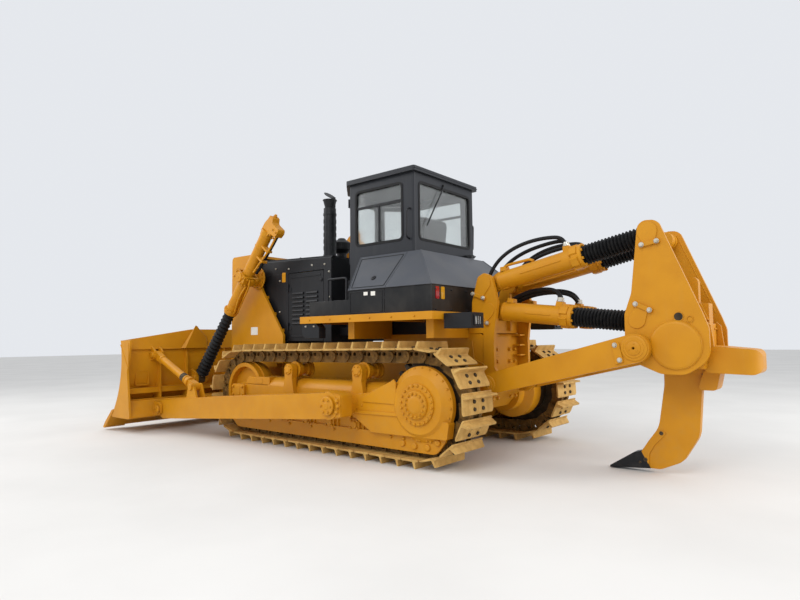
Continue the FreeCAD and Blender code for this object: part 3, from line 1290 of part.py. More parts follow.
def lift_head():
    """The cast head on a lift barrel's upper end, with the overhang behind it that takes the pipes."""
    way = V(LIFT_EYE[0] - LIFT_PIVOT[0], 0, LIFT_EYE[1] - LIFT_PIVOT[1])
    way.normalize()
    top = LIFT_HEAD_RISE
    port = LIFT_PORT_REACH
    # distance above the barrel's end, distance behind its axis, corner radius
    rows = ((-20, -LIFT_BARREL_RADIUS, 0), (120, -76, 60), (top - 60, -44, 40), (top, -34, 20), (top, 40, 24),
            (top - 70, 80, 50), (top - 70, port - 20, 30), (port - 130, port, 25), (60, port - 20, 25),
            (45, 110, 40), (-20, LIFT_BARREL_RADIUS, 0))
    corners = []
    for rise, back, radius in rows:
        up = LIFT_BARREL_REAR + rise
        corners.append((LIFT_PIVOT[0] - way.x * up + way.z * back, LIFT_PIVOT[1] - way.z * up - way.x * back,
                        radius))
    return side_plate(corners, (LIFT_Y - LIFT_HEAD_HALF, LIFT_Y + LIFT_HEAD_HALF))


def lift_barrel():
    """The barrel that hangs in its yoke, open below for the rod."""
    def place(distance):
        return along(LIFT_PIVOT, LIFT_EYE, distance, LIFT_Y)

    tube = bar(LIFT_BARREL_RADIUS, place(-LIFT_BARREL_REAR), place(LIFT_BARREL_FRONT))
    band = bar(LIFT_BARREL_RADIUS + 7, place(-YOKE_HALF_DEPTH - 20), place(YOKE_HALF_DEPTH + 20))
    gland = bar(LIFT_BARREL_RADIUS + 16, place(LIFT_BARREL_FRONT - 60), place(LIFT_BARREL_FRONT + 20))
    rear_cap = bar(LIFT_BARREL_RADIUS + 8, place(-LIFT_BARREL_REAR - 30), place(-LIFT_BARREL_REAR + 60))
    bore = bar(LIFT_ROD_RADIUS + ROD_GAP, place(LIFT_BORE_END), place(LIFT_BARREL_FRONT + 21))
    return joined(tube, band, gland, rear_cap, lift_head(), *lift_yoke()).cut(bore)


def lift_rod():
    start = along(LIFT_PIVOT, LIFT_EYE, LIFT_ROD_START, LIFT_Y)
    end = V(LIFT_EYE[0], LIFT_Y, LIFT_EYE[1])
    eye = axle(EYE_RADIUS, end.x, end.z, (LIFT_Y - EYE_WIDTH / 2, LIFT_Y + EYE_WIDTH / 2))
    inward = start - end
    inward.normalize()
    return joined(bar(LIFT_ROD_RADIUS, start, end + inward * ROD_SHORT), eye)


def sleeve(start, end, radius, bore, y, ends):
    """A hollow bellows between two distances from start, drawn as a plain sleeve."""
    a = along(start, end, ends[0], y)
    b = along(start, end, ends[1], y)
    return bar(radius, a, b).cut(bar(bore, a, b))


def lift_bellows():
    length = math.dist(LIFT_PIVOT, LIFT_EYE)
    ends = (LIFT_BARREL_FRONT + 20 + SEAT_GAP, length - EYE_RADIUS - 12)
    return both_sides(sleeve(LIFT_PIVOT, LIFT_EYE, LIFT_BELLOWS_RADIUS, LIFT_ROD_RADIUS + 1, LIFT_Y, ends))


# Ripper

def ripper_bracket():
    """Upright plates on the rear case, with the pins of the cylinders and the arm."""
    outline = [(-252, 690), (-252, 1040), (-120, 1100), (-100, 1300, 60), (-110, 1750, 60), (-190, 2030, 60),
               (-275, 2075, 60), (-370, 2030, 80), (-440, 1740, 80), (-415, 1560, 60),
               (-385, 1330, 60), (-385, 1000, 60), (-470, 900, 60), (-470, 760, 80), (-360, 690, 60)]
    inner_outline = [(-120, 1420), (-110, 1750, 60), (-190, 2030, 60), (-275, 2045), (-285, 1955),
                     (-285, 1640), (-285, 1420)]
    pieces = []
    eye_in = RIPPER_CYLINDER_Y - EYE_WIDTH / 2 - LUG_GAP
    eye_out = RIPPER_CYLINDER_Y + EYE_WIDTH / 2 + LUG_GAP
    outer = BRACKET_Y - BRACKET_PLATE
    for side in (-1, 1):
        pieces.append(side_plate(outline, sorted((side * outer, side * BRACKET_Y))))
        plate_y = sorted((side * (eye_in - BRACKET_PLATE), side * eye_in))
        pieces.append(side_plate(inner_outline, plate_y))
        for x, z in (PITCH_FRONT_PIN, RIPPER_LIFT_FRONT_PIN):
            pieces.append(axle(RIPPER_BOSS_RADIUS, x, z, plate_y))
            pieces.append(axle(RIPPER_BOSS_RADIUS, x, z, sorted((side * eye_out, side * outer))))
            pin_y = sorted((side * (eye_in - BRACKET_PLATE), side * BRACKET_Y))
            pieces.append(axle(RIPPER_PIN_RADIUS, x, z, pin_y))
    wall = box((CASE_REAR_X, CASE_REAR_X + 60), (-BRACKET_Y, BRACKET_Y), (CASE_TOP, CASE_TOP + 150))
    foot = box((CASE_REAR_X, -60), (-BRACKET_Y, BRACKET_Y), (CASE_TOP, CASE_TOP + 60))
    arm_reach = RIPPER_ARM_Y + RIPPER_ARM_PLATE / 2 + 10
    pin = axle(RIPPER_PIN_RADIUS, ARM_FRONT_PIN[0], ARM_FRONT_PIN[1], (-arm_reach, arm_reach))
    hull = box((CASE_REAR_X, 0), (-BRACKET_Y, BRACKET_Y), (CLEARANCE_UNDER_HULL, CASE_TOP))
    return joined(*pieces, wall, foot, pin).cut(hull)


def ripper_arm():
    """Two side straps joined by a cross tube, hinged low on the bracket."""
    half = RIPPER_ARM_PLATE / 2
    straps = []
    for side in (-1, 1):
        middle = side * RIPPER_ARM_Y
        straps.append(strap(ARM_FRONT_PIN, 112, CARRIER_PIN, 135, (middle - half, middle + half)))
    slope = (CARRIER_PIN[1] - ARM_FRONT_PIN[1]) / (CARRIER_PIN[0] - ARM_FRONT_PIN[0])
    tie_z = ARM_FRONT_PIN[1] + slope * (RIPPER_TIE_X - ARM_FRONT_PIN[0])
    tie = axle(RIPPER_TIE_RADIUS, RIPPER_TIE_X, tie_z, (-RIPPER_ARM_Y, RIPPER_ARM_Y))
    bores = [axle(RIPPER_PIN_RADIUS + PIN_GAP, x, z, (-700, 700)) for x, z in (ARM_FRONT_PIN, CARRIER_PIN)]
    return joined(*straps, tie).cut(bores)


def ripper_pivot_pins():
    """The stub pins between the arm and the carrier."""
    pins = []
    outer = RIPPER_ARM_Y + RIPPER_ARM_PLATE / 2 + 8
    for side in (-1, 1):
        pins.append(axle(RIPPER_PIN_RADIUS, CARRIER_PIN[0], CARRIER_PIN[1],
                         sorted((side * (CARRIER_Y - CARRIER_PLATE), side * outer))))
    return Part.makeCompound(pins)


def ripper_carrier():
    """Two side plates round the shank's box, with the round end caps and the push block."""
    top = PITCH_REAR_PIN
    outline = [(top[0] + 78, top[1] + 120, 90), (top[0] - 100, top[1] + 105, 90), (-2500, 1520, 160),
               (-2540, 1400, 120), (-2540, 1120, 200), (-2340, 985, 150), (-2130, 985, 200),
               (-1900, 1085, 120), (-1822, 1120, 100), (-1812, 1330, 60), (-1815, 1550, 60),
               (-1885, 1750, 200)]
    inner = CARRIER_Y - CARRIER_PLATE
    eye_out = RIPPER_CYLINDER_Y + EYE_WIDTH / 2 + LUG_GAP
    arm_in = RIPPER_ARM_Y - RIPPER_ARM_PLATE / 2
    pieces = []
    for side in (-1, 1):
        pieces.append(side_plate(outline, sorted((side * inner, side * CARRIER_Y))))
        cap_y = sorted((side * CARRIER_Y, side * (CARRIER_Y + CARRIER_CAP_DEPTH)))
        pieces.append(axle(CARRIER_CAP_RADIUS, CARRIER_CAP[0], CARRIER_CAP[1], cap_y))
        boss_y = sorted((side * CARRIER_Y, side * (arm_in - 6)))
        pieces.append(axle(CARRIER_BOSS_RADIUS, CARRIER_PIN[0], CARRIER_PIN[1], boss_y))
        for x, z in (PITCH_REAR_PIN, CARRIER_LIFT_PIN):
            pieces.append(axle(RIPPER_BOSS_RADIUS, x, z, sorted((side * eye_out, side * inner))))
    box_x = (-2480, -2175)
    cross = box(box_x, (-inner, inner), (1040, 1450))
    pocket = box((-2480, -2030), (-SHANK_HALF_WIDTH - 38, SHANK_HALF_WIDTH + 38), (985, 1640))
    block = side_plate([(-2440, 1000, 60), (REAR_END, 985, 70), (REAR_END, 1205, 70), (-2440, 1250, 60)],
                       (-PUSH_BLOCK_HALF, PUSH_BLOCK_HALF))
    block = block.common(floor_plate([(REAR_END, -PUSH_BLOCK_HALF, 150), (REAR_END, PUSH_BLOCK_HALF, 150),
                                      (-2400, PUSH_BLOCK_HALF), (-2400, -PUSH_BLOCK_HALF)], (900, 1300)))
    heel = side_plate([(-2420, 1010), (-2360, 830, 30), (-2520, 830, 40), (-2560, 1010)], (-110, 110))
    slot = box((-2400, -2045), (-SHANK_HALF_WIDTH - SEAT_GAP, SHANK_HALF_WIDTH + SEAT_GAP), (700, 2000))
    bore = axle(RIPPER_PIN_RADIUS + PIN_GAP, CARRIER_PIN[0], CARRIER_PIN[1], (-900, 900))
    return joined(*pieces, cross, pocket, block, heel).cut([slot, bore])


def shank():
    """The curved ripper leg, which runs down through the carrier's box."""
    half = SHANK_HALF_WIDTH
    return side_plate([(-2055, 1900, 60), (-2390, 1900, 60), (-2388, 880, 500), (-2345, 390, 260),
                       (-2190, 135, 170), (-1990, 42, 120), (-1845, 42), (-1790, 170), (-1985, 445, 300),
                       (-2052, 860, 400)], (-half, half))


def shank_tip():
    """The tooth that caps the shank's toe."""
    half = SHANK_HALF_WIDTH + 14
    x, z = SHANK_TIP
    tooth = side_plate([(-1895, 42), (x, z), (x, z + 18), (-1745, 185, 10), (-1812, 202)], (-half, half))
    return tooth.cut(shank())


def ripper_cylinder(front, rear, gland_at, rod_start):
    """The barrel, rod and bellows of one ripper cylinder on the left, from front pin to rear pin."""
    length = math.dist(front, rear)
    side_y = RIPPER_CYLINDER_Y
    barrel_radius = RIPPER_BARREL_RADIUS

    def place(distance):
        return along(front, rear, distance, side_y)

    y = (side_y - EYE_WIDTH / 2, side_y + EYE_WIDTH / 2)
    barrel = joined(bar(barrel_radius, place(110), place(gland_at)),
                    bar(barrel_radius + 14, place(gland_at - 70), place(gland_at + 20)),
                    strap(front, EYE_RADIUS, (place(170).x, place(170).z), EYE_RADIUS - 4, y))
    barrel = barrel.cut([bar(RIPPER_ROD_RADIUS + ROD_GAP, place(RIPPER_BORE_END), place(gland_at + 21)),
                         axle(RIPPER_PIN_RADIUS + PIN_GAP, front[0], front[1], (y[0] - 1, y[1] + 1))])
    rod = joined(bar(RIPPER_ROD_RADIUS, place(rod_start), place(length - ROD_SHORT)),
                 axle(EYE_RADIUS, rear[0], rear[1], y))
    bellows = sleeve(front, rear, RIPPER_BELLOWS_RADIUS, RIPPER_ROD_RADIUS + 1, side_y,
                     (gland_at + 20 + SEAT_GAP, length - EYE_RADIUS - 12))
    return barrel, rod, bellows


def main():
    os.makedirs("parts", exist_ok=True)
    save("main_frame", main_frame())
    save("engine_block", engine_block())
    save("radiator_guard", radiator_guard())
    save("grille", grille())
    save("radiator", radiator())
    save("hood", hood())
    save("engine_panels", side_post())
    save_pair("engine_door", engine_door())
    save("exhaust_stack", exhaust_stack())
    save("air_precleaner", air_precleaner())
    save("cab_base", cab_base())
    save("cab_frame", cab_frame())
    save("cab_roof", cab_roof())
    save("cab_glass", cab_glass())
    save_pair("cab_door", cab_door())
    save_pair("door_glass", door_glass())
    save("seat", seat())
    save("console", console())
    save("fuel_tank", fuel_tank())
    save_pair("side_box", side_box())
    save("fenders", both_sides(fender()))
    save("lamp_boxes", lamp_boxes())
    save("final_drives", both_sides(final_drive()))
    save("equalizer_bar", equalizer_bar())
    save_pair("track_frame", track_frame())
    save_pair("track", track())
    save_pair("sprocket", sprocket())
    save_pair("idler", idler())
    save_pair("track_rollers", Part.makeCompound(track_rollers() + carrier_rollers()))
    save("blade", blade())
    save("cutting_edge", cutting_edge())
    save_pair("push_arm", push_arm())
    save("blade_strut", strut())
    save("tilt_cylinder", tilt_cylinder())
    save("lift_barrels", both_sides(lift_barrel()))
    save("lift_rods", both_sides(lift_rod()))
    save("lift_bellows", lift_bellows())
    save("ripper_bracket", ripper_bracket())
    save("ripper_arm", ripper_arm())
    save("ripper_pivot_pins", ripper_pivot_pins())
    save("ripper_carrier", ripper_carrier())
    save("shank", shank())
    save("shank_tip", shank_tip())
    # name, front pin, rear pin, gland's place, rod's inner end
    cylinders = (("ripper_pitch", PITCH_FRONT_PIN, PITCH_REAR_PIN, 1090, 560),
                 ("ripper_lift", RIPPER_LIFT_FRONT_PIN, CARRIER_LIFT_PIN, 900, 477))
    for name, *places in cylinders:
        for kind, shape in zip(("barrels", "rods", "bellows"), ripper_cylinder(*places)):
            save(name + "_" + kind, both_sides(shape))


main()
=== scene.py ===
"""Crawler dozer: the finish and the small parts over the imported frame.

Places are in millimetres from the sprockets' axle, as the machine is drawn: X forward to the
blade, Y to its left, Z up from the ground. spot() turns them into the frame's metres.
"""
import math

import bmesh
import bpy
from mathutils import Matrix, Vector


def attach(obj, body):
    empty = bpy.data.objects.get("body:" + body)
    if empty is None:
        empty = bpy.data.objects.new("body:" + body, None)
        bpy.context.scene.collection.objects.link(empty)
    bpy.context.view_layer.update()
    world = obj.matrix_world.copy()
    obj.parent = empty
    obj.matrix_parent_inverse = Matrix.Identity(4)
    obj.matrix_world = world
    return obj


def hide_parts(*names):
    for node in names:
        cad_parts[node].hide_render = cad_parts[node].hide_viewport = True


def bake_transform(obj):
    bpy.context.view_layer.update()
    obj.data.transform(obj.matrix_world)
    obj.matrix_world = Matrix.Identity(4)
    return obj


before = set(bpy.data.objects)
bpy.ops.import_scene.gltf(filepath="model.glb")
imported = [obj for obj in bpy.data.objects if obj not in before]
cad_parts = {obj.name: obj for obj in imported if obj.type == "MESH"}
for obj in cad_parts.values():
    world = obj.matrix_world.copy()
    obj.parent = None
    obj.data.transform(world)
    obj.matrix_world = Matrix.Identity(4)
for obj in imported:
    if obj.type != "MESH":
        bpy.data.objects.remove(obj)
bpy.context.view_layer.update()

AXLE_X = -1287.5
SIDES = (("left", 1), ("right", -1))

# Ways to lay a flat outline of (u, v) corners with its depth along w
SIDE = Matrix(((1, 0, 0), (0, 0, 1), (0, 1, 0)))
PLAN = Matrix(((1, 0, 0), (0, 1, 0), (0, 0, 1)))
CROSS = Matrix(((0, 0, 1), (1, 0, 0), (0, 1, 0)))


def spot(x, y, z):
    """A place on the machine, in the frame's metres."""
    return Vector(((x + AXLE_X) / 1000, y / 1000, z / 1000))


def on(side, *places):
    """Places drawn on the machine's left, brought to the left (1) or the right (-1)."""
    return [(x, side * y, z) for x, y, z in places]


def new_object(name, data):
    """An object in the scene, unturned at the origin."""
    made = bpy.data.objects.new(name, data)
    bpy.context.scene.collection.objects.link(made)
    return made


# Materials

def linear(hex_colour):
    """An sRGB hex colour as linear red, green, blue and alpha."""
    parts = [int(hex_colour[i:i + 2], 16) / 255 for i in (1, 3, 5)]
    return (*[p / 12.92 if p <= 0.04045 else ((p + 0.055) / 1.055) ** 2.4 for p in parts], 1)


def feed(tree, node, values):
    """Sets a node's inputs to values, to outputs, or to the first output of other nodes."""
    for name, value in values.items():
        if isinstance(value, bpy.types.Node):
            value = value.outputs[0]
        if isinstance(value, bpy.types.NodeSocket):
            tree.links.new(value, node.inputs[name])
        else:
            node.inputs[name].default_value = value


def add(tree, kind, values=None, **settings):
    """A new node with its settings and inputs."""
    made = tree.nodes.new(kind)
    for name, value in settings.items():
        setattr(made, name, value)
    feed(tree, made, values or {})
    return made


def fresh_material(name):
    """A material with its tree, its shader and the coordinates to shade by."""
    material = bpy.data.materials.new(name)
    material.use_nodes = True
    tree = material.node_tree
    return material, tree, tree.nodes["Principled BSDF"], add(tree, "ShaderNodeTexCoord").outputs


def calc(tree, operation, *values):
    return add(tree, "ShaderNodeMath", dict(enumerate(values)), operation=operation).outputs[0]


def product(tree, a, b):
    return calc(tree, "MULTIPLY", a, b)


def ramp(tree, value, low, high, to_low=0, to_high=1, **settings):
    """A value carried from one range to another."""
    return add(tree, "ShaderNodeMapRange", {"Value": value, "From Min": low, "From Max": high,
                                            "To Min": to_low, "To Max": to_high}, **settings).outputs[0]


def patches(tree, where, per_metre, detail, low, high):
    """A mask from 0 to 1 out of noise at a scale, cut between two levels."""
    noise = add(tree, "ShaderNodeTexNoise", {"Vector": where, "Scale": per_metre, "Detail": detail})
    return ramp(tree, noise.outputs["Fac"], low, high, interpolation_type="SMOOTHSTEP")


def blended(tree, amount, below, above):
    """Colour 'above' laid over 'below' by a mask; each is a hex colour or an output."""
    below, above = (linear(c) if isinstance(c, str) else c for c in (below, above))
    return add(tree, "ShaderNodeMix", {0: amount, 6: below, 7: above}, data_type="RGBA").outputs[2]


def bump(tree, height, strength, depth, **over):
    return add(tree, "ShaderNodeBump", {"Height": height, "Strength": strength, "Distance": depth, **over})


def edges(tree, edge_mm, low, high, most):
    """A normal rounded over the edges, and a mask of where it departs from the flat one."""
    eased = add(tree, "ShaderNodeBevel", {"Radius": edge_mm / 1000}, samples=4).outputs[0]
    flat = add(tree, "ShaderNodeNewGeometry").outputs["Normal"]
    same = add(tree, "ShaderNodeVectorMath", {0: eased, 1: flat}, operation="DOT_PRODUCT")
    return eased, ramp(tree, same.outputs["Value"], low, high, 0, most)


def coated_steel(name, colour, shade, dust, dust_amount, bare, wear, gloss, edge_mm, sky_reflection_above_z=None):
    """Sprayed steel: slightly uneven colour, dust on level faces and low down, worn edges.

    With sky_reflection_above_z, the colour is 'shade' below that height and the lighter 'colour' above it: a
    painted reflection of the sky on the faces that lean up above the fold.
    """
    material, tree, shader, coords = fresh_material(name)
    where = coords["Object"]
    height = add(tree, "ShaderNodeSeparateXYZ", {"Vector": where}).outputs["Z"]
    facing = add(tree, "ShaderNodeSeparateXYZ", {"Vector": coords["Normal"]}).outputs["Z"]
    # patches about 400 mm across where the coat is thinner or sun-faded
    cloudy = patches(tree, where, 2.4, 5, 0.35, 0.7)
    # runs of dirt drawn down the upright faces, about 60 mm wide
    drawn_down = add(tree, "ShaderNodeMapping", {"Vector": where, "Scale": (1, 1, 0.12)}).outputs[0]
    runs = patches(tree, drawn_down, 16, 4, 0.52, 0.78)
    if sky_reflection_above_z is None:
        paint = blended(tree, product(tree, cloudy, 0.5), colour, shade)
    else:
        # painted sky reflection: the lighter 'colour' above the fold height, 'shade' below it
        paint = blended(tree, calc(tree, "GREATER_THAN", height, sky_reflection_above_z), shade, colour)
        paint = blended(tree, product(tree, cloudy, 0.12), paint, dust)
    paint = blended(tree, product(tree, runs, dust_amount * 0.35), paint, dust)
    # dust that lies on level faces, and more of it near the ground
    settled = product(tree, ramp(tree, facing, 0.35, 1.0), patches(tree, where, 9, 6, 0.3, 0.75))
    splashed = product(tree, ramp(tree, height, 1.3, 0.1), patches(tree, where, 14, 6, 0.42, 0.72))
    powder = product(tree, calc(tree, "MAXIMUM", settled, splashed), dust_amount)
    paint = blended(tree, powder, paint, dust)
    # edges where the coat is rubbed off to the steel
    eased, edge = edges(tree, edge_mm, 0.995, 0.86, 1)
    rubbed = product(tree, product(tree, edge, patches(tree, where, 26, 5, 0.5, 0.62)), wear)
    grain = add(tree, "ShaderNodeTexNoise", {"Vector": where, "Scale": 260, "Detail": 3}).outputs["Fac"]
    # a coat gone matt under fine dust throws back less of the sky than bare lacquer
    feed(tree, shader, {"Base Color": blended(tree, rubbed, paint, bare), "Specular IOR Level": 0.28,
                        "Roughness": ramp(tree, powder, 0, 1, gloss, 0.9),
                        "Normal": bump(tree, grain, 0.06, 0.002, Normal=eased)})
    return material


def raw_steel(name, colour, dark, gloss, metal, grain_per_metre, edge_mm=3):
    """Forged or rolled steel: blotched colour, a rough skin and brighter rubbed edges."""
    material, tree, shader, coords = fresh_material(name)
    where = coords["Object"]
    blotch = patches(tree, where, 11, 6, 0.32, 0.68)
    fine = patches(tree, where, grain_per_metre, 4, 0.3, 0.75)
    tone = blended(tree, product(tree, blotch, 0.75), colour, dark)
    tone = blended(tree, product(tree, fine, 0.3), tone, dark)
    eased, edge = edges(tree, edge_mm, 0.99, 0.85, 0.35)
    skin = add(tree, "ShaderNodeTexNoise", {"Vector": where, "Scale": grain_per_metre, "Detail": 5})
    feed(tree, shader, {"Base Color": blended(tree, edge, tone, "#C9BBA0"), "Metallic": metal,
                        "Roughness": ramp(tree, blotch, 0, 1, gloss, min(1, gloss + 0.18)),
                        "Normal": bump(tree, skin.outputs["Fac"], 0.25, 0.003, Normal=eased)})
    return material


def moulded(name, colour, worn, gloss, grain_per_metre, depth, sheen=0.0):
    """Rubber, plastic or hide: one colour gone dusty in patches, chalked, with a fine grain."""
    material, tree, shader, coords = fresh_material(name)
    dusty = patches(tree, coords["Object"], 18, 6, 0.4, 0.8)
    grain = add(tree, "ShaderNodeTexVoronoi", {"Vector": coords["Object"], "Scale": grain_per_metre})
    feed(tree, shader, {"Base Color": blended(tree, product(tree, dusty, 0.45), colour, worn),
                        "Roughness": ramp(tree, dusty, 0, 1, gloss, min(1, gloss + 0.25)),
                        "Normal": bump(tree, grain.outputs["Distance"], depth, 0.001),
                        "Sheen Weight": sheen, "Specular IOR Level": 0.3})
    return material


def safety_glass():
    """Laminated cab glass: faint grey-green, clean, its surface duller in patches."""
    material, tree, shader, coords = fresh_material("laminated_glass")
    film = patches(tree, coords["Object"], 3, 5, 0.45, 0.8)
    feed(tree, shader, {"Roughness": ramp(tree, film, 0, 1, 0.03, 0.16), "Base Color": linear("#EEF2F1"),
                        "Transmission Weight": 0.92, "IOR": 1.5})
    return material


def lens(name, colour, shadow):
    """A moulded reflector or lamp lens, with small pyramids about 4 mm wide behind a clear face."""
    material, tree, shader, coords = fresh_material(name)
    cells = add(tree, "ShaderNodeTexVoronoi", {"Vector": coords["Object"], "Scale": 240},
                distance="CHEBYCHEV").outputs["Distance"]
    feed(tree, shader, {"Base Color": blended(tree, product(tree, cells, 0.9), colour, shadow),
                        "Normal": bump(tree, cells, 0.3, 0.001), "Roughness": 0.15, "Coat Weight": 0.8})
    return material


def plated_rod():
    """Hard chrome, ground round and polished: bright, and oil-dark in places."""
    material, tree, shader, coords = fresh_material("hard_chrome")
    oily = patches(tree, coords["Object"], 22, 4, 0.45, 0.7)
    feed(tree, shader, {"Base Color": blended(tree, product(tree, oily, 0.35), "#D2D3D4", "#6E6557"),
                        "Roughness": ramp(tree, oily, 0, 1, 0.12, 0.35), "Metallic": 1.0})
    return material


YELLOW = coated_steel("machine_yellow_enamel", "#CC8B10", "#B87609", "#B0894F", 0.16, "#7A4E16", 0.5, 0.42, 5)
BLACK = coated_steel("satin_black_enamel", "#1A1B1E", "#131416", "#6F6A62", 0.09, "#6B6B6B", 0.35, 0.46, 4)
# The panels' lighter grey above 1.92 m is a painted reflection of the sky on their upward-leaning faces
PANEL = coated_steel("two_tone_panel_enamel", "#484B51", "#101113", "#7B766E", 0.08, "#8B8D90", 0.3, 0.44, 5,
                     1.92)
CAB = coated_steel("cab_grey_enamel", "#24262B", "#1E2024", "#76726C", 0.09, "#8B8D90", 0.3, 0.44, 5)
BLANK = coated_steel("blank_plate_enamel", "#E6E4DC", "#D6D2C6", "#B9AF9C", 0.2, "#8B8D90", 0.2, 0.4, 2)
SHOE = raw_steel("dusty_rolled_steel", "#D0A75C", "#AE8544", 0.72, 0.0, 70)
LINK = raw_steel("forged_chain_steel", "#8A6526", "#4A3413", 0.68, 0.15, 60)
CAST = raw_steel("dark_cast_steel", "#4A3A22", "#231B12", 0.62, 0.3, 55)
ZINC = raw_steel("zinc_plated_steel", "#D9D6CC", "#A39B88", 0.35, 0.75, 120, 1)
RUBBER = moulded("black_rubber", "#0C0C0E", "#2B2926", 0.6, 900, 0.15)
PLASTIC = moulded("moulded_black_plastic", "#18191B", "#38373A", 0.45, 1400, 0.2)
HIDE = moulded("seat_vinyl", "#1B1B1D", "#2E2D2E", 0.5, 600, 0.35, 0.2)
CHROME = plated_rod()
GLASS = safety_glass()
RED_LENS = lens("red_reflector", "#B5151A", "#4E0508")
AMBER_LENS = lens("amber_reflector", "#E0A51B", "#8A5A05")
CLEAR_LENS = lens("clear_lamp_lens", "#C8CCCC", "#6E7272")

# The frame's nodes that aren't yellow
FINISH = {
    BLACK: "engine_block grille radiator hood engine_panels engine_door_left engine_door_right "
           "air_precleaner cab_base lamp_boxes shank_tip exhaust_stack",
    PANEL: "fuel_tank side_box_left side_box_right",
    CAB: "cab_frame cab_roof cab_door_left cab_door_right",
    CAST: "sprocket_left sprocket_right ripper_pivot_pins",
    SHOE: "track_left track_right",
    CHROME: "lift_rods ripper_pitch_rods ripper_lift_rods",
    RUBBER: "lift_bellows ripper_pitch_bellows ripper_lift_bellows",
    GLASS: "cab_glass door_glass_left door_glass_right",
    HIDE: "seat",
    PLASTIC: "console",
}
for name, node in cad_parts.items():
    node.data.materials.clear()
    node.data.materials.append(next((m for m, names in FINISH.items() if name in names.split()), YELLOW))


# Drawing

def prism(bm, corners, low, high, way=SIDE, holes=()):
    """A flat outline of (u, v) corners, with holes, given its depth between two values."""
    loops = []
    for ring in (corners, *holes):
        verts = [bm.verts.new(spot(*(way @ Vector((u, v, low))))) for u, v in ring]
        loops += [bm.edges.new((verts[i - 1], verts[i])) for i in range(len(verts))]
    if holes:
        made = bmesh.ops.triangle_fill(bm, use_beauty=True, use_dissolve=False, edges=loops)
        faces = [g for g in made["geom"] if isinstance(g, bmesh.types.BMFace)]
    else:
        faces = bmesh.ops.contextual_create(bm, geom=loops)["faces"]
    grown = bmesh.ops.extrude_face_region(bm, geom=faces)
    moved = [g for g in grown["geom"] if isinstance(g, bmesh.types.BMVert)]
    bmesh.ops.translate(bm, verts=moved, vec=(way @ Vector((0, 0, high - low))) / 1000)


def slab(bm, side, corners, low, high, holes=()):
    """An XZ outline on one side, between two distances from the machine's middle."""
    prism(bm, corners, *sorted((side * low, side * high)), holes=holes)


def rounded(x, z, radius, steps=5):
    """A rectangle's outline with round corners, as (u, v) points."""
    points = []
    middles = ((x[1] - radius, z[1] - radius), (x[0] + radius, z[1] - radius),
               (x[0] + radius, z[0] + radius), (x[1] - radius, z[0] + radius))
    for k, (cx, cz) in enumerate(middles):
        for i in range(steps + 1):
            angle = (k + i / steps) * math.pi / 2
            points.append((cx + radius * math.cos(angle), cz + radius * math.sin(angle)))
    return points


def ring_of(radius, x, z, count):
    """Points on a circle, as (u, v)."""
    return [(x + radius * math.cos(i * math.tau / count), z + radius * math.sin(i * math.tau / count))
            for i in range(count)]


def circle(middle, across, other, radius, count):
    """Points round a middle, in the plane of two unit vectors."""
    return [middle + (across * math.cos(a) + other * math.sin(a)) * radius
            for a in (i * math.tau / count for i in range(count))]


def lathe(bm, profile, start, way, count=32, bored=False):
    """A solid turned about a line: profile is (distance along it, radius) pairs, in millimetres.

    A bored one is a ring whose profile closes on itself, open through the middle.
    """
    start = spot(*start)
    way = Vector(way).normalized()
    across = way.orthogonal().normalized()
    rings = []
    for distance, radius in profile:
        middle = start + way * (distance / 1000)
        turned = [middle] if radius < 0.01 else circle(middle, across, way.cross(across), radius / 1000, count)
        rings.append([bm.verts.new(p) for p in turned])
    for a, b in zip(rings, rings[1:] + (rings[:1] if bored else [])):
        for i in range(count):
            j = (i + 1) % count
            corners = list(dict.fromkeys((a[i % len(a)], a[j % len(a)], b[j % len(b)], b[i % len(b)])))
            if len(corners) > 2:
                bm.faces.new(corners)
    for end in (() if bored else (rings[0], rings[-1])):
        if len(end) > 2:
            bm.faces.new(end)


def hub(bm, side, profile, x, y, z, count=32):
    """A turned part that points outward from one side of the machine."""
    lathe(bm, profile, (x, side * y, z), (0, side, 0), count)


def collar(bm, start, way, inner, radius, depth, ease, count, bored=False):
    """A band round an axis, with eased edges."""
    lathe(bm, [(0, inner), (0, radius - ease), (ease, radius), (depth - ease, radius), (depth, radius - ease),
               (depth, inner)], start, way, count, bored)


def rod(bm, start, end, radius, count=20):
    way = Vector(end) - Vector(start)
    lathe(bm, [(0, radius), (way.length, radius)], start, way, count)


def tube(bm, points, radius, count=12, smooth=6):
    """A round bar bent along points, in millimetres, with its corners eased."""
    points = [Vector(p) for p in points]
    line = [points[0]]
    for before, here, after in zip(points, points[1:], points[2:]):
        reach = min((before - here).length, (after - here).length, radius * 5) / 2
        a = here + (before - here).normalized() * reach
        b = here + (after - here).normalized() * reach
        for t in (k / smooth for k in range(smooth + 1)):
            line.append(a * (1 - t) ** 2 + here * 2 * t * (1 - t) + b * t ** 2)
    line.append(points[-1])
    across = (line[1] - line[0]).normalized().orthogonal()
    rings = []
    for i, here in enumerate(line):
        way = (line[min(i + 1, len(line) - 1)] - line[max(i - 1, 0)]).normalized()
        across = (across - way * across.dot(way)).normalized()
        rings.append([bm.verts.new(spot(*p)) for p in circle(here, across, way.cross(across), radius, count)])
    for a, b in zip(rings, rings[1:]):
        for i in range(count):
            bm.faces.new([a[i - 1], a[i], b[i], b[i - 1]])
    bm.faces.new(rings[0])
    bm.faces.new(rings[-1])


def drawn_mesh(name, bm):
    """A drawing as a mesh, its doubled corners merged and its faces turned outward."""
    bmesh.ops.remove_doubles(bm, verts=bm.verts, dist=0.00002)
    bmesh.ops.recalc_face_normals(bm, faces=bm.faces)
    mesh = bpy.data.meshes.new(name)
    bm.to_mesh(mesh)
    bm.free()
    return mesh


def finish_mesh(mesh, material, angle=None):
    """Smooth shading, sharp past an angle in degrees, and the one material."""
    mesh.polygons.foreach_set("use_smooth", [True] * len(mesh.polygons))
    if angle:
        mesh.set_sharp_from_angle(angle=math.radians(angle))
    mesh.materials.clear()
    mesh.materials.append(material)


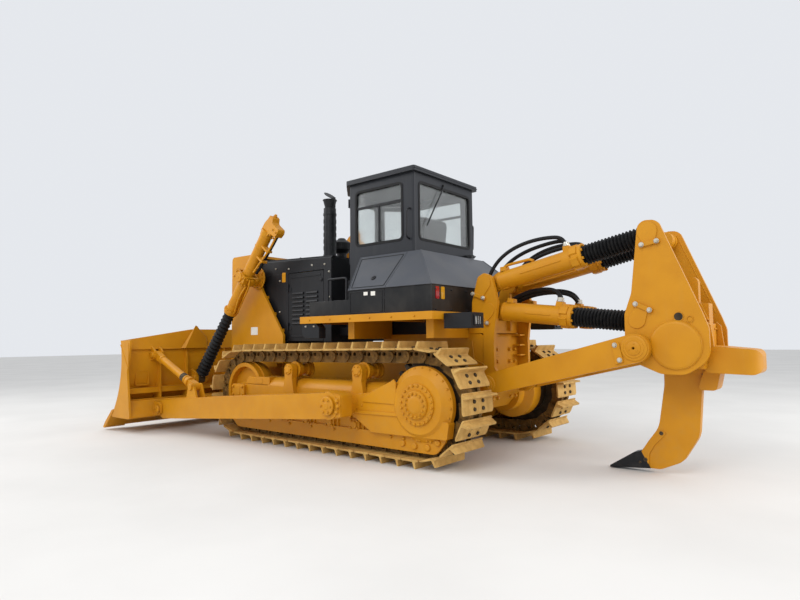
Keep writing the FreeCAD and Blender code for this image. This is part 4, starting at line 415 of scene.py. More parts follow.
def piece(name, bm, material, bevel=0.0, body="chassis"):
    """Turns a drawing into a finished piece that rides on a body."""
    mesh = drawn_mesh(name, bm)
    finish_mesh(mesh, material, 35)
    made = new_object(name, mesh)
    if bevel:
        soft = made.modifiers.new("eased_edges", "BEVEL")
        soft.width = bevel / 1000
        soft.segments = 2
        soft.limit_method = "ANGLE"
        soft.angle_limit = math.radians(40)
        soft.harden_normals = True
    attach(made, body)


# Growing repeated parts with geometry nodes

def new_tree(name, **inputs):
    """A geometry tree with named inputs of given kinds, and what it is given."""
    tree = bpy.data.node_groups.new(name, "GeometryNodeTree")
    for way in ("INPUT", "OUTPUT"):
        tree.interface.new_socket("Geometry", in_out=way, socket_type="NodeSocketGeometry")
    for label, kind in inputs.items():
        tree.interface.new_socket(label.replace("_", " "), in_out="INPUT", socket_type="NodeSocket" + kind)
    return tree, add(tree, "NodeGroupInput").outputs


def close_tree(tree, geometry, material, smooth):
    """Ends a tree: instances made real, shaded, and given their material."""
    real = add(tree, "GeometryNodeRealizeInstances", {"Geometry": geometry})
    shaded = add(tree, "GeometryNodeSetShadeSmooth", {"Geometry": real, "Shade Smooth": smooth})
    done = add(tree, "GeometryNodeSetMaterial", {"Geometry": shaded, "Material": material})
    add(tree, "NodeGroupOutput", {0: done})


def as_plain_mesh(made):
    """Puts what an object's modifiers make of it in place of its mesh, and takes them off."""
    graph = bpy.context.evaluated_depsgraph_get()
    mesh = bpy.data.meshes.new_from_object(made.evaluated_get(graph))
    made.modifiers.clear()
    made.data = mesh
    return mesh


def grow(name, seeds, tree, values, body=None, replaced=()):
    """Runs a tree on a mesh of seed points and keeps the result as a plain piece."""
    made = new_object(name, seeds)
    modifier = made.modifiers.new("grow", "NODES")
    modifier.node_group = tree
    for item in tree.interface.items_tree:
        if item.in_out == "INPUT" and item.name in values:
            modifier[item.identifier] = values[item.name]
    as_plain_mesh(made).set_sharp_from_angle(angle=math.radians(35))
    if body:
        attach(made, body)
    if replaced:
        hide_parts(*replaced)
    return made


def seed_points(points, **attributes):
    """A mesh of points alone, with an attribute of numbers or vectors of each given name."""
    mesh = bpy.data.meshes.new("seeds")
    mesh.from_pydata([tuple(p) for p in points], [], [])
    for label, values in attributes.items():
        if hasattr(values[0], "__len__"):
            layer = mesh.attributes.new(label, "FLOAT_VECTOR", "POINT")
            layer.data.foreach_set("vector", [c for v in values for c in v])
        else:
            mesh.attributes.new(label, "FLOAT", "POINT").data.foreach_set("value", values)
    return mesh


def attribute(tree, name, kind="FLOAT_VECTOR"):
    return add(tree, "GeometryNodeInputNamedAttribute", {"Name": name}, data_type=kind).outputs["Attribute"]


def repeat_tree(name, material):
    """Sets one drawn part on every seed point, turned by the seed's 'turn'."""
    tree, given = new_tree(name, Part="Object")
    part = add(tree, "GeometryNodeObjectInfo", {"Object": given["Part"], "As Instance": True})
    placed = add(tree, "GeometryNodeInstanceOnPoints",
                 {"Points": given["Geometry"], "Instance": part.outputs["Geometry"],
                  "Rotation": attribute(tree, "turn")})
    close_tree(tree, placed, material, False)
    return tree


def template(bm, name):
    """A part drawn about the origin, to be repeated; it is removed when that is done."""
    mesh = drawn_mesh(name, bm)
    mesh.transform(Matrix.Translation((-AXLE_X / 1000, 0, 0)))
    return new_object(name, mesh)


# Bolts: every head on the machine is noted as it is needed and grown at the end

BOLTS = {}


def bolt(x, y, z, way, size=24, material=YELLOW, body="chassis"):
    """Notes a bolt head: its place, the way it points and its width across flats in millimetres."""
    BOLTS.setdefault((body, material), []).append((spot(x, y, z), Vector(way), size / 1000))


def side_bolt(side, x, y, z, size=24, material=YELLOW, body="chassis"):
    bolt(x, side * y, z, (0, side, 0), size, material, body)


def bolt_circle(side, x, y, z, radius, count, size=24, start=0.0, body="chassis"):
    """Bolts on a circle in the XZ plane, pointing outward."""
    for i in range(count):
        angle = start + i * math.tau / count
        side_bolt(side, x + radius * math.cos(angle), y, z + radius * math.sin(angle), size, body=body)


def bolt_tree(material):
    """A washer and a hexagon head with a crown on every seed, scaled by its 'width'."""
    tree, given = new_tree("bolt_heads", Head_height="Float", Washer_width="Float", Seed="Int")
    height = given["Head height"]
    head = add(tree, "GeometryNodeMeshCylinder", {"Vertices": 6, "Radius": 0.577, "Depth": height})
    crown = add(tree, "GeometryNodeMeshCone", {"Vertices": 6, "Radius Top": 0.42, "Radius Bottom": 0.577,
                                               "Depth": 0.12})
    rise = add(tree, "ShaderNodeCombineXYZ", {"Z": product(tree, height, 0.5)})
    top = add(tree, "ShaderNodeCombineXYZ", {"Z": height})
    lifted = add(tree, "GeometryNodeTransform", {"Geometry": head, "Translation": rise})
    capped = add(tree, "GeometryNodeTransform", {"Geometry": crown, "Translation": top})
    washer = add(tree, "GeometryNodeMeshCylinder", {"Vertices": 14, "Radius": given["Washer width"],
                                                    "Depth": 0.2})
    whole = add(tree, "GeometryNodeJoinGeometry")
    for part in (washer, lifted, capped):
        feed(tree, whole, {0: part})
    aimed = add(tree, "FunctionNodeAlignRotationToVector", {"Vector": attribute(tree, "facing")}, axis="Z")
    twist = add(tree, "FunctionNodeRandomValue", {"Max": 1.05, "Seed": given["Seed"]}).outputs[1]
    spin = add(tree, "FunctionNodeAxisAngleToRotation", {"Axis": (0, 0, 1), "Angle": twist})
    turned = add(tree, "FunctionNodeRotateRotation", {"Rotation": aimed, "Rotate By": spin},
                 rotation_space="LOCAL")
    placed = add(tree, "GeometryNodeInstanceOnPoints",
                 {"Points": given["Geometry"], "Instance": whole, "Rotation": turned,
                  "Scale": attribute(tree, "width", "FLOAT")})
    close_tree(tree, placed, material, False)
    return tree


def grow_bolts():
    rows = sorted(BOLTS.items(), key=lambda row: (row[0][0], row[0][1].name))
    for number, ((body, material), heads) in enumerate(rows):
        places, facing, width = zip(*heads)
        grow("bolts_%s_%d" % (body, number), seed_points(places, facing=facing, width=width),
             bolt_tree(material), {"Head height": 0.62, "Washer width": 0.72, "Seed": 7},
             body)


# Tracks: one shoe and one pair of links, set on every pin of the chain

LINK_PITCH = 228.6
LINK_COUNT = 41
PIN_HEIGHT = 166
SPROCKET_RADIUS = 27 / 2 * LINK_PITCH / math.tau
IDLER_RADIUS = 475
AXLE_Z = PIN_HEIGHT + SPROCKET_RADIUS
IDLER_Z = PIN_HEIGHT + IDLER_RADIUS
IDLER_X = (LINK_COUNT * LINK_PITCH - math.pi * (SPROCKET_RADIUS + IDLER_RADIUS)) / 2
TOP_TILT = 2 * math.atan((SPROCKET_RADIUS - IDLER_RADIUS) / IDLER_X)
TRACK_Y = 1070


def pin_at(distance):
    """A point of the chain's pitch line, at a distance from the sprocket's lowest point."""
    if distance < IDLER_X:
        return distance, PIN_HEIGHT
    distance -= IDLER_X
    turn = IDLER_RADIUS * (math.pi - TOP_TILT)
    if distance < turn:
        angle = distance / IDLER_RADIUS - math.pi / 2
        return IDLER_X + IDLER_RADIUS * math.cos(angle), IDLER_Z + IDLER_RADIUS * math.sin(angle)
    distance -= turn
    angle = math.pi / 2 - TOP_TILT
    x = IDLER_X + IDLER_RADIUS * math.cos(angle)
    z = IDLER_Z + IDLER_RADIUS * math.sin(angle)
    if distance < IDLER_X:
        return x - distance * math.sin(angle), z + distance * math.cos(angle)
    angle += (distance - IDLER_X) / SPROCKET_RADIUS
    return SPROCKET_RADIUS * math.cos(angle), AXLE_Z + SPROCKET_RADIUS * math.sin(angle)


def shoe_part():
    """A single-grouser shoe in (along, -outward): a plate with bent ends and a tapered grouser."""
    bm = bmesh.new()
    plate_in, plate_out, tip = 71, 91, 166
    outline = [(5, plate_in + 6), (5, plate_out), (26, plate_out), (32, plate_out + 8), (37, tip), (57, tip),
               (62, plate_out + 8), (70, plate_out), (196, plate_out), (224, plate_out - 7),
               (224, plate_in + 3), (198, plate_in), (24, plate_in)]
    prism(bm, [(a, -out) for a, out in outline], -280, 280)
    for v in bm.verts:
        if -v.co.z * 1000 > tip - 5:
            v.co.y *= 258 / 280
        elif v.co.x < (AXLE_X + 27) / 1000 or v.co.x > (AXLE_X + 200) / 1000:
            v.co.y *= 268 / 280
    return template(bm, "shoe")


def shoe_bolts_part():
    """The four hexagon heads that hold a shoe to its links."""
    bm = bmesh.new()
    for y in (-79, 79):
        for along in (96, 172):
            lathe(bm, [(0, 21), (17, 21), (20, 17)], (along, y, -87), (0, 0, -1), 6)
    return template(bm, "shoe_bolts")


def link_part():
    """A pair of links with bushing and pin: the bushing ends sit inside the pin ends."""
    bm = bmesh.new()
    rail, seat, eye = -75, 71, 60
    half = LINK_PITCH / 2 + 4
    rim = [(eye * math.cos(a), eye * math.sin(a)) for a in (math.radians(d) for d in range(95, 241, 18))]
    outline = [(half, seat), (28, seat), (6, eye + 2), *rim, (-20, rail + 3), (half, rail)]
    window = rounded((48, 96), (6, 46), 12, 3)
    for side in (-1, 1):
        slab(bm, side, [(a, -out) for a, out in outline], 52, 80, holes=([(a, -out) for a, out in window],))
        slab(bm, side, [(LINK_PITCH - a, -out) for a, out in outline], 78, 107,
             holes=([(LINK_PITCH - a, -out) for a, out in window],))
    lathe(bm, [(0, 37), (104, 37)], (0, -52, 0), (0, 1, 0), 20)
    lathe(bm, [(0, 20), (0.1, 25), (230, 25), (230.1, 20)], (0, -115, 0), (0, 1, 0), 16)
    return template(bm, "links")


def grow_tracks():
    pins = [pin_at(i * LINK_PITCH) for i in range(LINK_COUNT)]
    turns = [(0, math.atan2(z - ahead_z, ahead_x - x), 0)
             for (x, z), (ahead_x, ahead_z) in zip(pins, pins[1:] + pins[:1])]
    for kind, part, material in (("shoes", shoe_part(), SHOE), ("shoe_bolts", shoe_bolts_part(), CAST),
                                 ("links", link_part(), LINK)):
        tree = repeat_tree(kind + "_on_pins", material)
        for label, side in SIDES:
            seeds = seed_points([spot(x, side * TRACK_Y, z) for x, z in pins], turn=turns)
            grow("track_%s_%s" % (kind, label), seeds, tree, {"Part": part}, "chassis",
                 ["track_" + label] if kind == "shoes" else [])
        bpy.data.objects.remove(part)


# Bellows: folds of rubber over the cylinders' rods

LIFT_PIVOT = (3600, 2280)
LIFT_EYE = (4840, 740)
LIFT_Y = 857
PITCH_PINS = ((-275, 1955), (-2045, 2320))
RIPPER_LIFT_PINS = ((-318, 1648), (-1905, 1475))
RIPPER_Y = 245
EYE_END = 90


def bellows_tree():
    """Follows an edge and swells between two radii, once for each fold."""
    tree, given = new_tree("ridged_bellows", Folds="Int", First_crest="Float", Last_crest="Float",
                           Root_radius="Float")
    line = add(tree, "GeometryNodeMeshToCurve", {0: given["Geometry"]})
    count = calc(tree, "MULTIPLY_ADD", given["Folds"], 8, 1)
    fine = add(tree, "GeometryNodeResampleCurve", {"Curve": line, "Count": count})
    place = add(tree, "GeometryNodeSplineParameter").outputs["Factor"]
    wave = calc(tree, "PINGPONG", product(tree, place, given["Folds"]), 0.5)
    round_top = calc(tree, "POWER", product(tree, wave, 2.0), 0.7)
    widest = ramp(tree, place, 0, 1, given["First crest"], given["Last crest"])
    radius = ramp(tree, round_top, 0, 1, given["Root radius"], widest)
    hoop = add(tree, "GeometryNodeCurvePrimitiveCircle", {"Resolution": 28, "Radius": 1.0})
    skin = add(tree, "GeometryNodeCurveToMesh", {"Curve": fine, "Profile Curve": hoop, "Scale": radius,
                                                 "Fill Caps": True})
    close_tree(tree, skin, RUBBER, True)
    return tree


def between(start, end, distance, y):
    """A place on the line from start to end in the XZ plane, at a distance from start."""
    share = distance / math.dist(start, end)
    return (start[0] + (end[0] - start[0]) * share, y, start[1] + (end[1] - start[1]) * share)


def grow_bellows():
    tree = bellows_tree()
    # name, pins, Y, gland's face, folds, first crest, last crest, root, slack past each end, cylinder
    rows = (
        ("lift", (LIFT_PIVOT, LIFT_EYE), LIFT_Y, 660, 18, 84, 103, 66, 100, "lift"),
        ("ripper_pitch", PITCH_PINS, RIPPER_Y, 1110, 17, 107, 103, 76, 0, "pitch"),
        ("ripper_lift", RIPPER_LIFT_PINS, RIPPER_Y, 920, 17, 103, 107, 76, 0, "ripper_lift"))
    for name, (front, rear), y, gland, folds, first, last, root, slack, cylinder in rows:
        end = math.dist(front, rear) - EYE_END
        lines = bpy.data.meshes.new("lines")
        lines.from_pydata([spot(*between(front, rear, d, side * y)) for side in (1, -1) for d in (gland, end)],
                          [(0, 1), (2, 3)], [])
        boots = grow(name + "_boots", lines, tree,
                     {"Folds": folds, "First crest": first / 1000, "Last crest": last / 1000,
                      "Root radius": root / 1000}, replaced=[name + "_bellows"])
        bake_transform(boots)


# The set: floor, light and camera

def set_stage():
    floor = bpy.data.meshes.new("floor")
    floor.from_pydata([(-60, -60, 0), (60, -60, 0), (60, 60, 0), (-60, 60, 0)], [], [(0, 1, 2, 3)])
    material, tree, shader, coords = fresh_material("pale_floor")
    soft = patches(tree, coords["Object"], 0.6, 4, 0.3, 0.7)
    feed(tree, shader, {"Base Color": blended(tree, soft, "#D8D6D2", "#DEDCD8"), "Roughness": 0.9})
    floor.materials.append(material)
    new_object("floor", floor)

    world = bpy.data.worlds.new("soft_sky")
    bpy.context.scene.world = world
    world.use_nodes = True
    sky = world.node_tree
    sky.nodes.clear()
    overcast = add(sky, "ShaderNodeBackground", {"Color": linear("#EEF1F6"), "Strength": 0.92})
    add(sky, "ShaderNodeOutputWorld", {"Surface": overcast})

    for name, where, size, energy in (("key", (-3.5, 11.0, 9.5), 7.0, 600),
                                      ("fill", (-12.0, -4.0, 5.5), 8.0, 760),
                                      ("front", (9.0, 6.0, 8.0), 6.0, 420)):
        lamp = bpy.data.lights.new(name, "AREA")
        lamp.size = size
        lamp.energy = energy
        made = new_object(name, lamp)
        made.location = where
        made.rotation_euler = (Vector((0, 0, 1.2)) - Vector(where)).to_track_quat("-Z", "Y").to_euler()


EYE = spot(-3680, 6056, 1328)
YAW, PITCH, ROLL = (math.radians(a) for a in (-50.47, 3.92, -0.57))
FOCAL_PIXELS = 576.9


def set_camera():
    ahead = Vector((math.cos(PITCH) * math.cos(YAW), math.cos(PITCH) * math.sin(YAW), math.sin(PITCH)))
    level = Vector((math.sin(YAW), -math.cos(YAW), 0))
    above = level.cross(ahead)
    right = level * math.cos(ROLL) + above * math.sin(ROLL)
    up = above * math.cos(ROLL) - level * math.sin(ROLL)
    camera = new_object("camera", bpy.data.cameras.new("camera"))
    camera.data.sensor_width = 36
    camera.data.lens = 36 * FOCAL_PIXELS / 800
    camera.data.clip_end = 200
    camera.matrix_world = Matrix.Translation(EYE) @ Matrix((right, up, -ahead)).transposed().to_4x4()
    bpy.context.scene.camera = camera
    bpy.context.scene.view_settings.view_transform = "Standard"


# Rear: tank, side boxes, fenders and lamps

TANK_REAR_X = -50
TANK_TOP_X = 420
BOX_OUTER_Y = 1130
BOX_TOP_Y = 690
BREAK_Z = 1920
BOX_TOP_Z = 2385
DECK_TOP = 1620


def slope_y(z):
    """How far out the side boxes' leaning faces are at a height."""
    return BOX_OUTER_Y - (BOX_OUTER_Y - BOX_TOP_Y) * max(0, z - BREAK_Z) / (BOX_TOP_Z - BREAK_Z)


def tank_seams():
    """Raised weld flanges along the tank's folds and the lids' rims."""
    bm = bmesh.new()
    for side in (1, -1):
        corner_low = (TANK_REAR_X, side * BOX_OUTER_Y, DECK_TOP + 12)
        corner_break = (TANK_REAR_X, side * BOX_OUTER_Y, BREAK_Z)
        corner_top = (TANK_TOP_X, side * BOX_TOP_Y, BOX_TOP_Z)
        tube(bm, [corner_low, corner_break, corner_top], 7, 8)
        tube(bm, on(side, (TANK_REAR_X, BOX_OUTER_Y + 2, BREAK_Z), (1190, BOX_OUTER_Y + 2, BREAK_Z)), 7, 8)
        tube(bm, on(side, (1390, BOX_TOP_Y, BOX_TOP_Z), (1190, BOX_OUTER_Y, BREAK_Z),
                    (1190, BOX_OUTER_Y, 1815)), 6, 8)
    tube(bm, [(TANK_REAR_X - 2, -BOX_OUTER_Y, BREAK_Z), (TANK_REAR_X - 2, BOX_OUTER_Y, BREAK_Z)], 7, 8)
    piece("tank_seams", bm, PANEL)


def tank_fittings():
    """Filler cap with its lugs, and the bolts along the tank's rear."""
    bm = bmesh.new()
    lathe(bm, [(0, 76), (26, 76), (30, 70), (36, 70)], (480, -450, BOX_TOP_Z + 18), (0, 0, 1), 28)
    for i in range(4):
        angle = math.radians(45 + 90 * i)
        rod(bm, (480 + 60 * math.cos(angle), -450 + 60 * math.sin(angle), BOX_TOP_Z + 40),
            (480 + 88 * math.cos(angle), -450 + 88 * math.sin(angle), BOX_TOP_Z + 40), 9, 10)
    piece("filler_cap", bm, BLACK, 1.5)
    for side in (1, -1):
        for z in (1650, 1870):
            for y in (1060, 760, 460):
                bolt(TANK_REAR_X, side * y, z, (-1, 0, 0), 16, BLACK)


def reflectors():
    """Red outboard and amber inboard, on the tank's lower rear corners."""
    red, amber = bmesh.new(), bmesh.new()
    for side in (1, -1):
        prism(red, [(side * y, z) for y, z in rounded((1000, 1062), (1762, 1898), 12, 3)], TANK_REAR_X - 10,
              TANK_REAR_X + 1, CROSS)
        prism(amber, [(side * y, z) for y, z in rounded((900, 962), (1762, 1898), 12, 3)], TANK_REAR_X - 10,
              TANK_REAR_X + 1, CROSS)
    piece("reflectors_red", red, RED_LENS, 1.5)
    piece("reflectors_amber", amber, AMBER_LENS, 1.5)


def panel_gaps():
    """Rims round the side boxes' lids, a latch on each and the blank plates."""
    rims, latches, plates = bmesh.new(), bmesh.new(), bmesh.new()
    for side in (1, -1):
        lid = []
        for x, z in ((650, 1950), (1160, 1950), (1345, 2350), (650, 2350)):
            lid.append((x, side * (slope_y(z) + 3), z))
        tube(rims, [*lid, lid[0]], 4.5, 6, 2)
        low = [(650, 1650), (1160, 1650), (1160, 1890), (650, 1890)]
        ring = [(x, side * (BOX_OUTER_Y + 1), z) for x, z in low]
        tube(rims, [*ring, ring[0]], 4, 6, 2)
        lathe(latches, [(0, 34), (9, 34), (13, 27), (13, 13), (19, 11)], (896, side * slope_y(2058), 2058),
              (0, side * 0.726, 0.688), 22)
    for x, z in (((872, 936), (1846, 1888)), ((754, 822), (1838, 1892))):
        prism(plates, rounded(x, z, 5, 2), BOX_OUTER_Y, BOX_OUTER_Y + 3)
    piece("box_lid_rims", rims, BLACK)
    piece("box_latches", latches, BLACK, 1)
    piece("blank_plates", plates, BLANK, 0.8)


def steps_and_rails():
    """Tread plates on the steps and fenders, handrails and the fenders' front hangers."""
    tread, rails, boxes = bmesh.new(), bmesh.new(), bmesh.new()
    for side in (1, -1):
        for i in range(9):
            x = 1235 + i * 70
            prism(tread, rounded((x, x + 34), sorted((side * 720, side * 1090)), 12, 3), 1810, 1817, PLAN)
        for i in range(5):
            x = 1240 + i * 130
            prism(tread, rounded((x, x + 60), sorted((side * 1165, side * 1265)), 14, 3), DECK_TOP,
                  DECK_TOP + 7, PLAN)
        tube(rails, on(side, (612, 667, 2540), (600, 735, 2560), (590, 735, 2890), (602, 667, 2912)), 11,
             12)
        tube(rails, on(side, (1240, 1110, 1812), (1240, 1110, 2080), (1560, 1110, 2080),
                       (1560, 1110, 1812)), 13, 12)
        slab(boxes, side, [(1640, 1560), (1868, 1560), (1868, 1400), (1820, 1352), (1560, 1352),
                           (1560, 1480)], 1150, 1262)
        for x in (1650, 1800):
            side_bolt(side, x, 1262, 1500, 18, ZINC)
        for x in (60, 380, 700, 1010, 1340, 1700):
            side_bolt(side, x, 1290, 1575, 17, YELLOW)
    piece("tread_plates", tread, BLACK, 2)
    piece("handrails", rails, BLACK)
    piece("fender_hangers", boxes, BLACK, 4)


def rear_lamps():
    """A work lamp in each box behind the fenders, with its bezel and guard bars."""
    bezels, lenses = bmesh.new(), bmesh.new()
    for side in (1, -1):
        outer = rounded(sorted((side * 905, side * 1055)), (1462, 1580), 20)
        inner = rounded(sorted((side * 925, side * 1035)), (1480, 1562), 14)
        prism(bezels, outer, -532, -519, CROSS, holes=(inner,))
        prism(lenses, inner, -525, -519, CROSS)
        for y in (962, 998):
            rod(bezels, (-534, side * y, 1470), (-534, side * y, 1572), 5, 8)
    piece("lamp_bezels", bezels, BLACK, 1.5)
    piece("lamp_lenses", lenses, CLEAR_LENS)


# Cab

CAB_REAR_X = 540
CAB_FRONT_X = 1960
CAB_HALF = 665
SILL = 2545
WINDOW_TOP = 3250
EAVES = 3360


def gasket(bm, outline, width, low, high, way):
    """A rubber channel round a window: outline given as ranges and corner radius."""
    (a, b), (c, d), radius = outline
    outer = rounded((a - width, b + width), (c - width, d + width), radius + width)
    inner = rounded((a + width, b - width), (c + width, d - width), max(radius - width, 10))
    prism(bm, outer, low, high, way, holes=(inner,))


def window_gaskets():
    bm, bars = bmesh.new(), bmesh.new()
    for side in (1, -1):
        gasket(bm, ((720, 1500), (SILL, WINDOW_TOP), 55), 16,
               *sorted((side * (CAB_HALF - 30), side * (CAB_HALF + 6))), SIDE)
        slab(bars, side, [(725, 3018), (1495, 3018), (1495, 3050), (725, 3050)], CAB_HALF - 30,
             CAB_HALF - 4)
        slab(bars, side, [(1096, 2550), (1122, 2550), (1122, 3020), (1096, 3020)], CAB_HALF - 30,
             CAB_HALF - 4)
    gasket(bm, ((-560, 560), (SILL, WINDOW_TOP), 55), 16, CAB_REAR_X - 6, CAB_REAR_X + 30, CROSS)
    gasket(bm, ((-230, 230), (SILL - 300, WINDOW_TOP), 55), 16, CAB_FRONT_X - 30, CAB_FRONT_X + 6, CROSS)
    piece("window_gaskets", bm, RUBBER, 2)
    piece("window_bars", bars, BLACK, 2)


def wiper(bm, pivot, tip, out):
    """An arm from its spindle to a blade, standing off the glass by out."""
    lathe(bm, [(0, 16), (18, 16), (22, 10)], pivot, (out, 0, 0), 14)
    middle = tuple((a + b) / 2 for a, b in zip(pivot, tip))
    arm = [(pivot[0] + out * 14, pivot[1], pivot[2]), (pivot[0] + out * 20, middle[1], middle[2]),
           (pivot[0] + out * 12, tip[1], tip[2])]
    tube(bm, arm, 9, 8)
    way = Vector((0, tip[1] - pivot[1], tip[2] - pivot[2])).normalized() * 190
    end = Vector(arm[-1])
    rod(bm, tuple(end - way), tuple(end + way), 9, 6)


def cab_fittings():
    bm = bmesh.new()
    wiper(bm, (CAB_REAR_X - 2, 49, WINDOW_TOP + 46), (CAB_REAR_X - 2, 318, 2886), -1)
    wiper(bm, (CAB_FRONT_X + 2, -60, SILL - 330), (CAB_FRONT_X + 2, 80, 2600), 1)
    piece("wipers", bm, PLASTIC)
    roof = bmesh.new()
    for side in (1, -1):
        tube(roof, on(side, (500, 700, EAVES + 30), (1625, 700, EAVES + 30), (1990, 318, EAVES + 30)), 8, 8)
    tube(roof, [(498, -700, EAVES + 30), (498, 700, EAVES + 30)], 8, 8)
    for y in (-420, -140, 140, 420):
        prism(roof, rounded((620, 1560), (y - 55, y + 55), 30), EAVES + 58, EAVES + 68, PLAN)
    piece("roof_seams_and_ribs", roof, CAB, 3)
    for y in (-520, -300, -90, 90, 300, 520):
        bolt(CAB_REAR_X, y, 1900, (-1, 0, 0), 14, BLACK)


def cab_inside():
    """The dash's screen, steering levers, pedals, seat arms and belt anchors."""
    bm = bmesh.new()
    prism(bm, rounded((-150, 150), (2360, 2450), 14), 1742, 1768, CROSS)
    for y in (-90, -30, 30, 90):
        tube(bm, [(1700, y, 1872), (1660, y, 1960), (1640, y, 2010)], 9, 8)
        prism(bm, rounded((y - 24, y + 24), (1990, 2050), 8), 1622, 1640, CROSS)
    for side in (-1, 1):
        for x in (1180, 1260):
            tube(bm, on(side, (x, 360, 2388), (x + 10, 350, 2520), (x + 20, 345, 2560)), 8, 8)
            lathe(bm, [(0, 10), (14, 22), (40, 22), (52, 10)], (x + 20, side * 345, 2550), (0, 0, 1), 14)
        slab(bm, side, [(940, 2398), (1330, 2398), (1350, 2440), (940, 2450)], 310, 400)
    piece("cab_controls", bm, PLASTIC, 2)


def seat_padding():
    """The seat's cushion and back, swollen in their covers."""
    rows = (  # name, outline in the XZ plane, half width
        ("cushion", [(852, 2176), (1352, 2176), (1384, 2200), (1386, 2290), (1350, 2318), (868, 2296)], 252),
        ("backrest", [(776, 2240), (900, 2300), (852, 2620), (818, 2860), (780, 2892), (712, 2878),
                      (700, 2840)], 232))
    for name, outline, half in rows:
        bm = bmesh.new()
        prism(bm, outline, -half, half)
        made = new_object(name, drawn_mesh(name, bm))
        even = made.modifiers.new("even", "REMESH")
        even.mode = "VOXEL"
        even.voxel_size = 0.008
        ease = made.modifiers.new("ease", "SMOOTH")
        ease.iterations = 18
        swell = made.modifiers.new("swell", "DISPLACE")
        swell.strength = 0.010
        swell.mid_level = 0
        finish_mesh(as_plain_mesh(made), HIDE)
        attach(made, "chassis")


def seat_frame():
    """What carries the padding: the suspension base, its stacked layers and the plate under the cushion."""
    bm = bmesh.new()
    prism(bm, [(860, 1870), (1300, 1870), (1300, 1890), (860, 1890)], -220, 220)
    for i in range(5):
        level = 1900 + i * 46
        prism(bm, rounded((905, 1235), (level, level + 34), 12, 3), -182 + 4 * (i % 2), 182 - 4 * (i % 2))
    prism(bm, [(840, 2140), (1360, 2140), (1372, 2172), (846, 2180)], -246, 246)
    piece("seat_frame", bm, PLASTIC, 3)


# Running gear

COVER_FACE_Y = 1335
HUB_FACE_Y = 1372


def drive_covers():
    """The hub's cap with its bolts, the cover's raised ring and the guard's studs and gussets."""
    caps, plates = bmesh.new(), bmesh.new()
    for side in (1, -1):
        hub(caps, side, [(0, 214), (16, 214), (20, 208), (20, 186)], 0, COVER_FACE_Y, AXLE_Z, 56)
        hub(caps, side, [(0, 150), (40, 146), (50, 138), (54, 92), (60, 84), (66, 62), (66, 0)], 0,
            COVER_FACE_Y, AXLE_Z, 48)
        bolt_circle(side, 0, HUB_FACE_Y + 16, AXLE_Z, 116, 14, 22)
        bolt_circle(side, 0, COVER_FACE_Y + 18, AXLE_Z, 198, 20, 24, 0.1)
        bolt_circle(side, 0, 1270, AXLE_Z, 372, 24, 22, 0.06)
        for x, z in ((257, 233), (96, 219), (-73, 219), (-201, 281)):
            hub(caps, side, [(0, 34), (16, 34), (22, 26), (22, 0)], x, 1259, z, 20)
        gusset = [(300, 870), (330, 905), (372, 880), (790, 690), (790, 640), (300, 640)]
        slab(plates, side, gusset, 1306, 1322)
        fold = [(-20, 395), (-20, 505), (20, 535), (275, 552), (960, 540), (960, 506), (290, 514),
                (46, 490), (34, 470), (34, 410)]
        slab(plates, side, fold, 1308, 1325)
        hub(plates, side, [(0, 30), (10, 30), (10, 16)], 298, 1308, 780, 20)
        for x in range(420, 2700, 205):
            slab(plates, side, [(x, 322), (x + 16, 322), (x + 16, 520), (x, 520)], 1234,
                 1258 if x < 2600 else 1240)
        for x in (-120, 60, 240, 420, 1300, 1700, 2100, 2500, 2900, 3200):
            side_bolt(side, x, 1260, 285, 26, YELLOW)
    piece("drive_hub_caps", caps, YELLOW, 2.5)
    piece("frame_gussets", plates, YELLOW, 3)


ROLLER_Z = 366.3
CARRIERS = ((890, 976.7), (2090, 963.7))


def roller_caps():
    """End caps with their bolts on the rollers' shafts, and the carriers' hubs."""
    bm = bmesh.new()
    for side in (1, -1):
        for i in range(6):
            x = 560 + i * 408
            slab(bm, side, rounded((x - 74, x + 74), (ROLLER_Z - 62, ROLLER_Z + 62), 26, 4), 1232, 1262)
            hub(bm, side, [(0, 44), (18, 44), (24, 36), (24, 0)], x, 1260, ROLLER_Z, 24)
            for dx in (-52, 52):
                for dz in (-40, 40):
                    side_bolt(side, x + dx, 1262, ROLLER_Z + dz, 24)
        for x, z in CARRIERS:
            hub(bm, side, [(0, 66), (14, 62), (14, 44), (22, 38), (22, 0)], x, 1298, z, 32)
            bolt_circle(side, x, 1312, z, 53, 6, 14)
            for dx in (-88, 88):
                side_bolt(side, x + dx, 1300, 600, 26)
    piece("roller_end_caps", bm, YELLOW, 2.5)


def idler_ends():
    """The idlers' end plates with their bolts and shims, and the guide plates behind them."""
    plates, shims = bmesh.new(), bmesh.new()
    for side in (1, -1):
        outline = rounded((3050, 3318), (562, 738), 30)
        slab(plates, side, outline, 1255, 1282)
        slab(shims, side, rounded((3140, 3220), (590, 710), 14), 1281, 1288)
        for x in (3080, 3288):
            for z in (596, 704):
                side_bolt(side, x, 1282, z, 30)
        slab(plates, side, [(2560, 745), (3060, 745), (3060, 790), (3000, 845), (2560, 845)], 940, 1228)
        slab(shims, side, rounded((2700, 2860), (758, 826), 20), 1226, 1232)
    piece("idler_end_plates", plates, YELLOW, 4)
    piece("idler_shims", shims, YELLOW, 2)


ARM_PIVOT = (1000, 610)
ARM_OUTER_Y = 1640


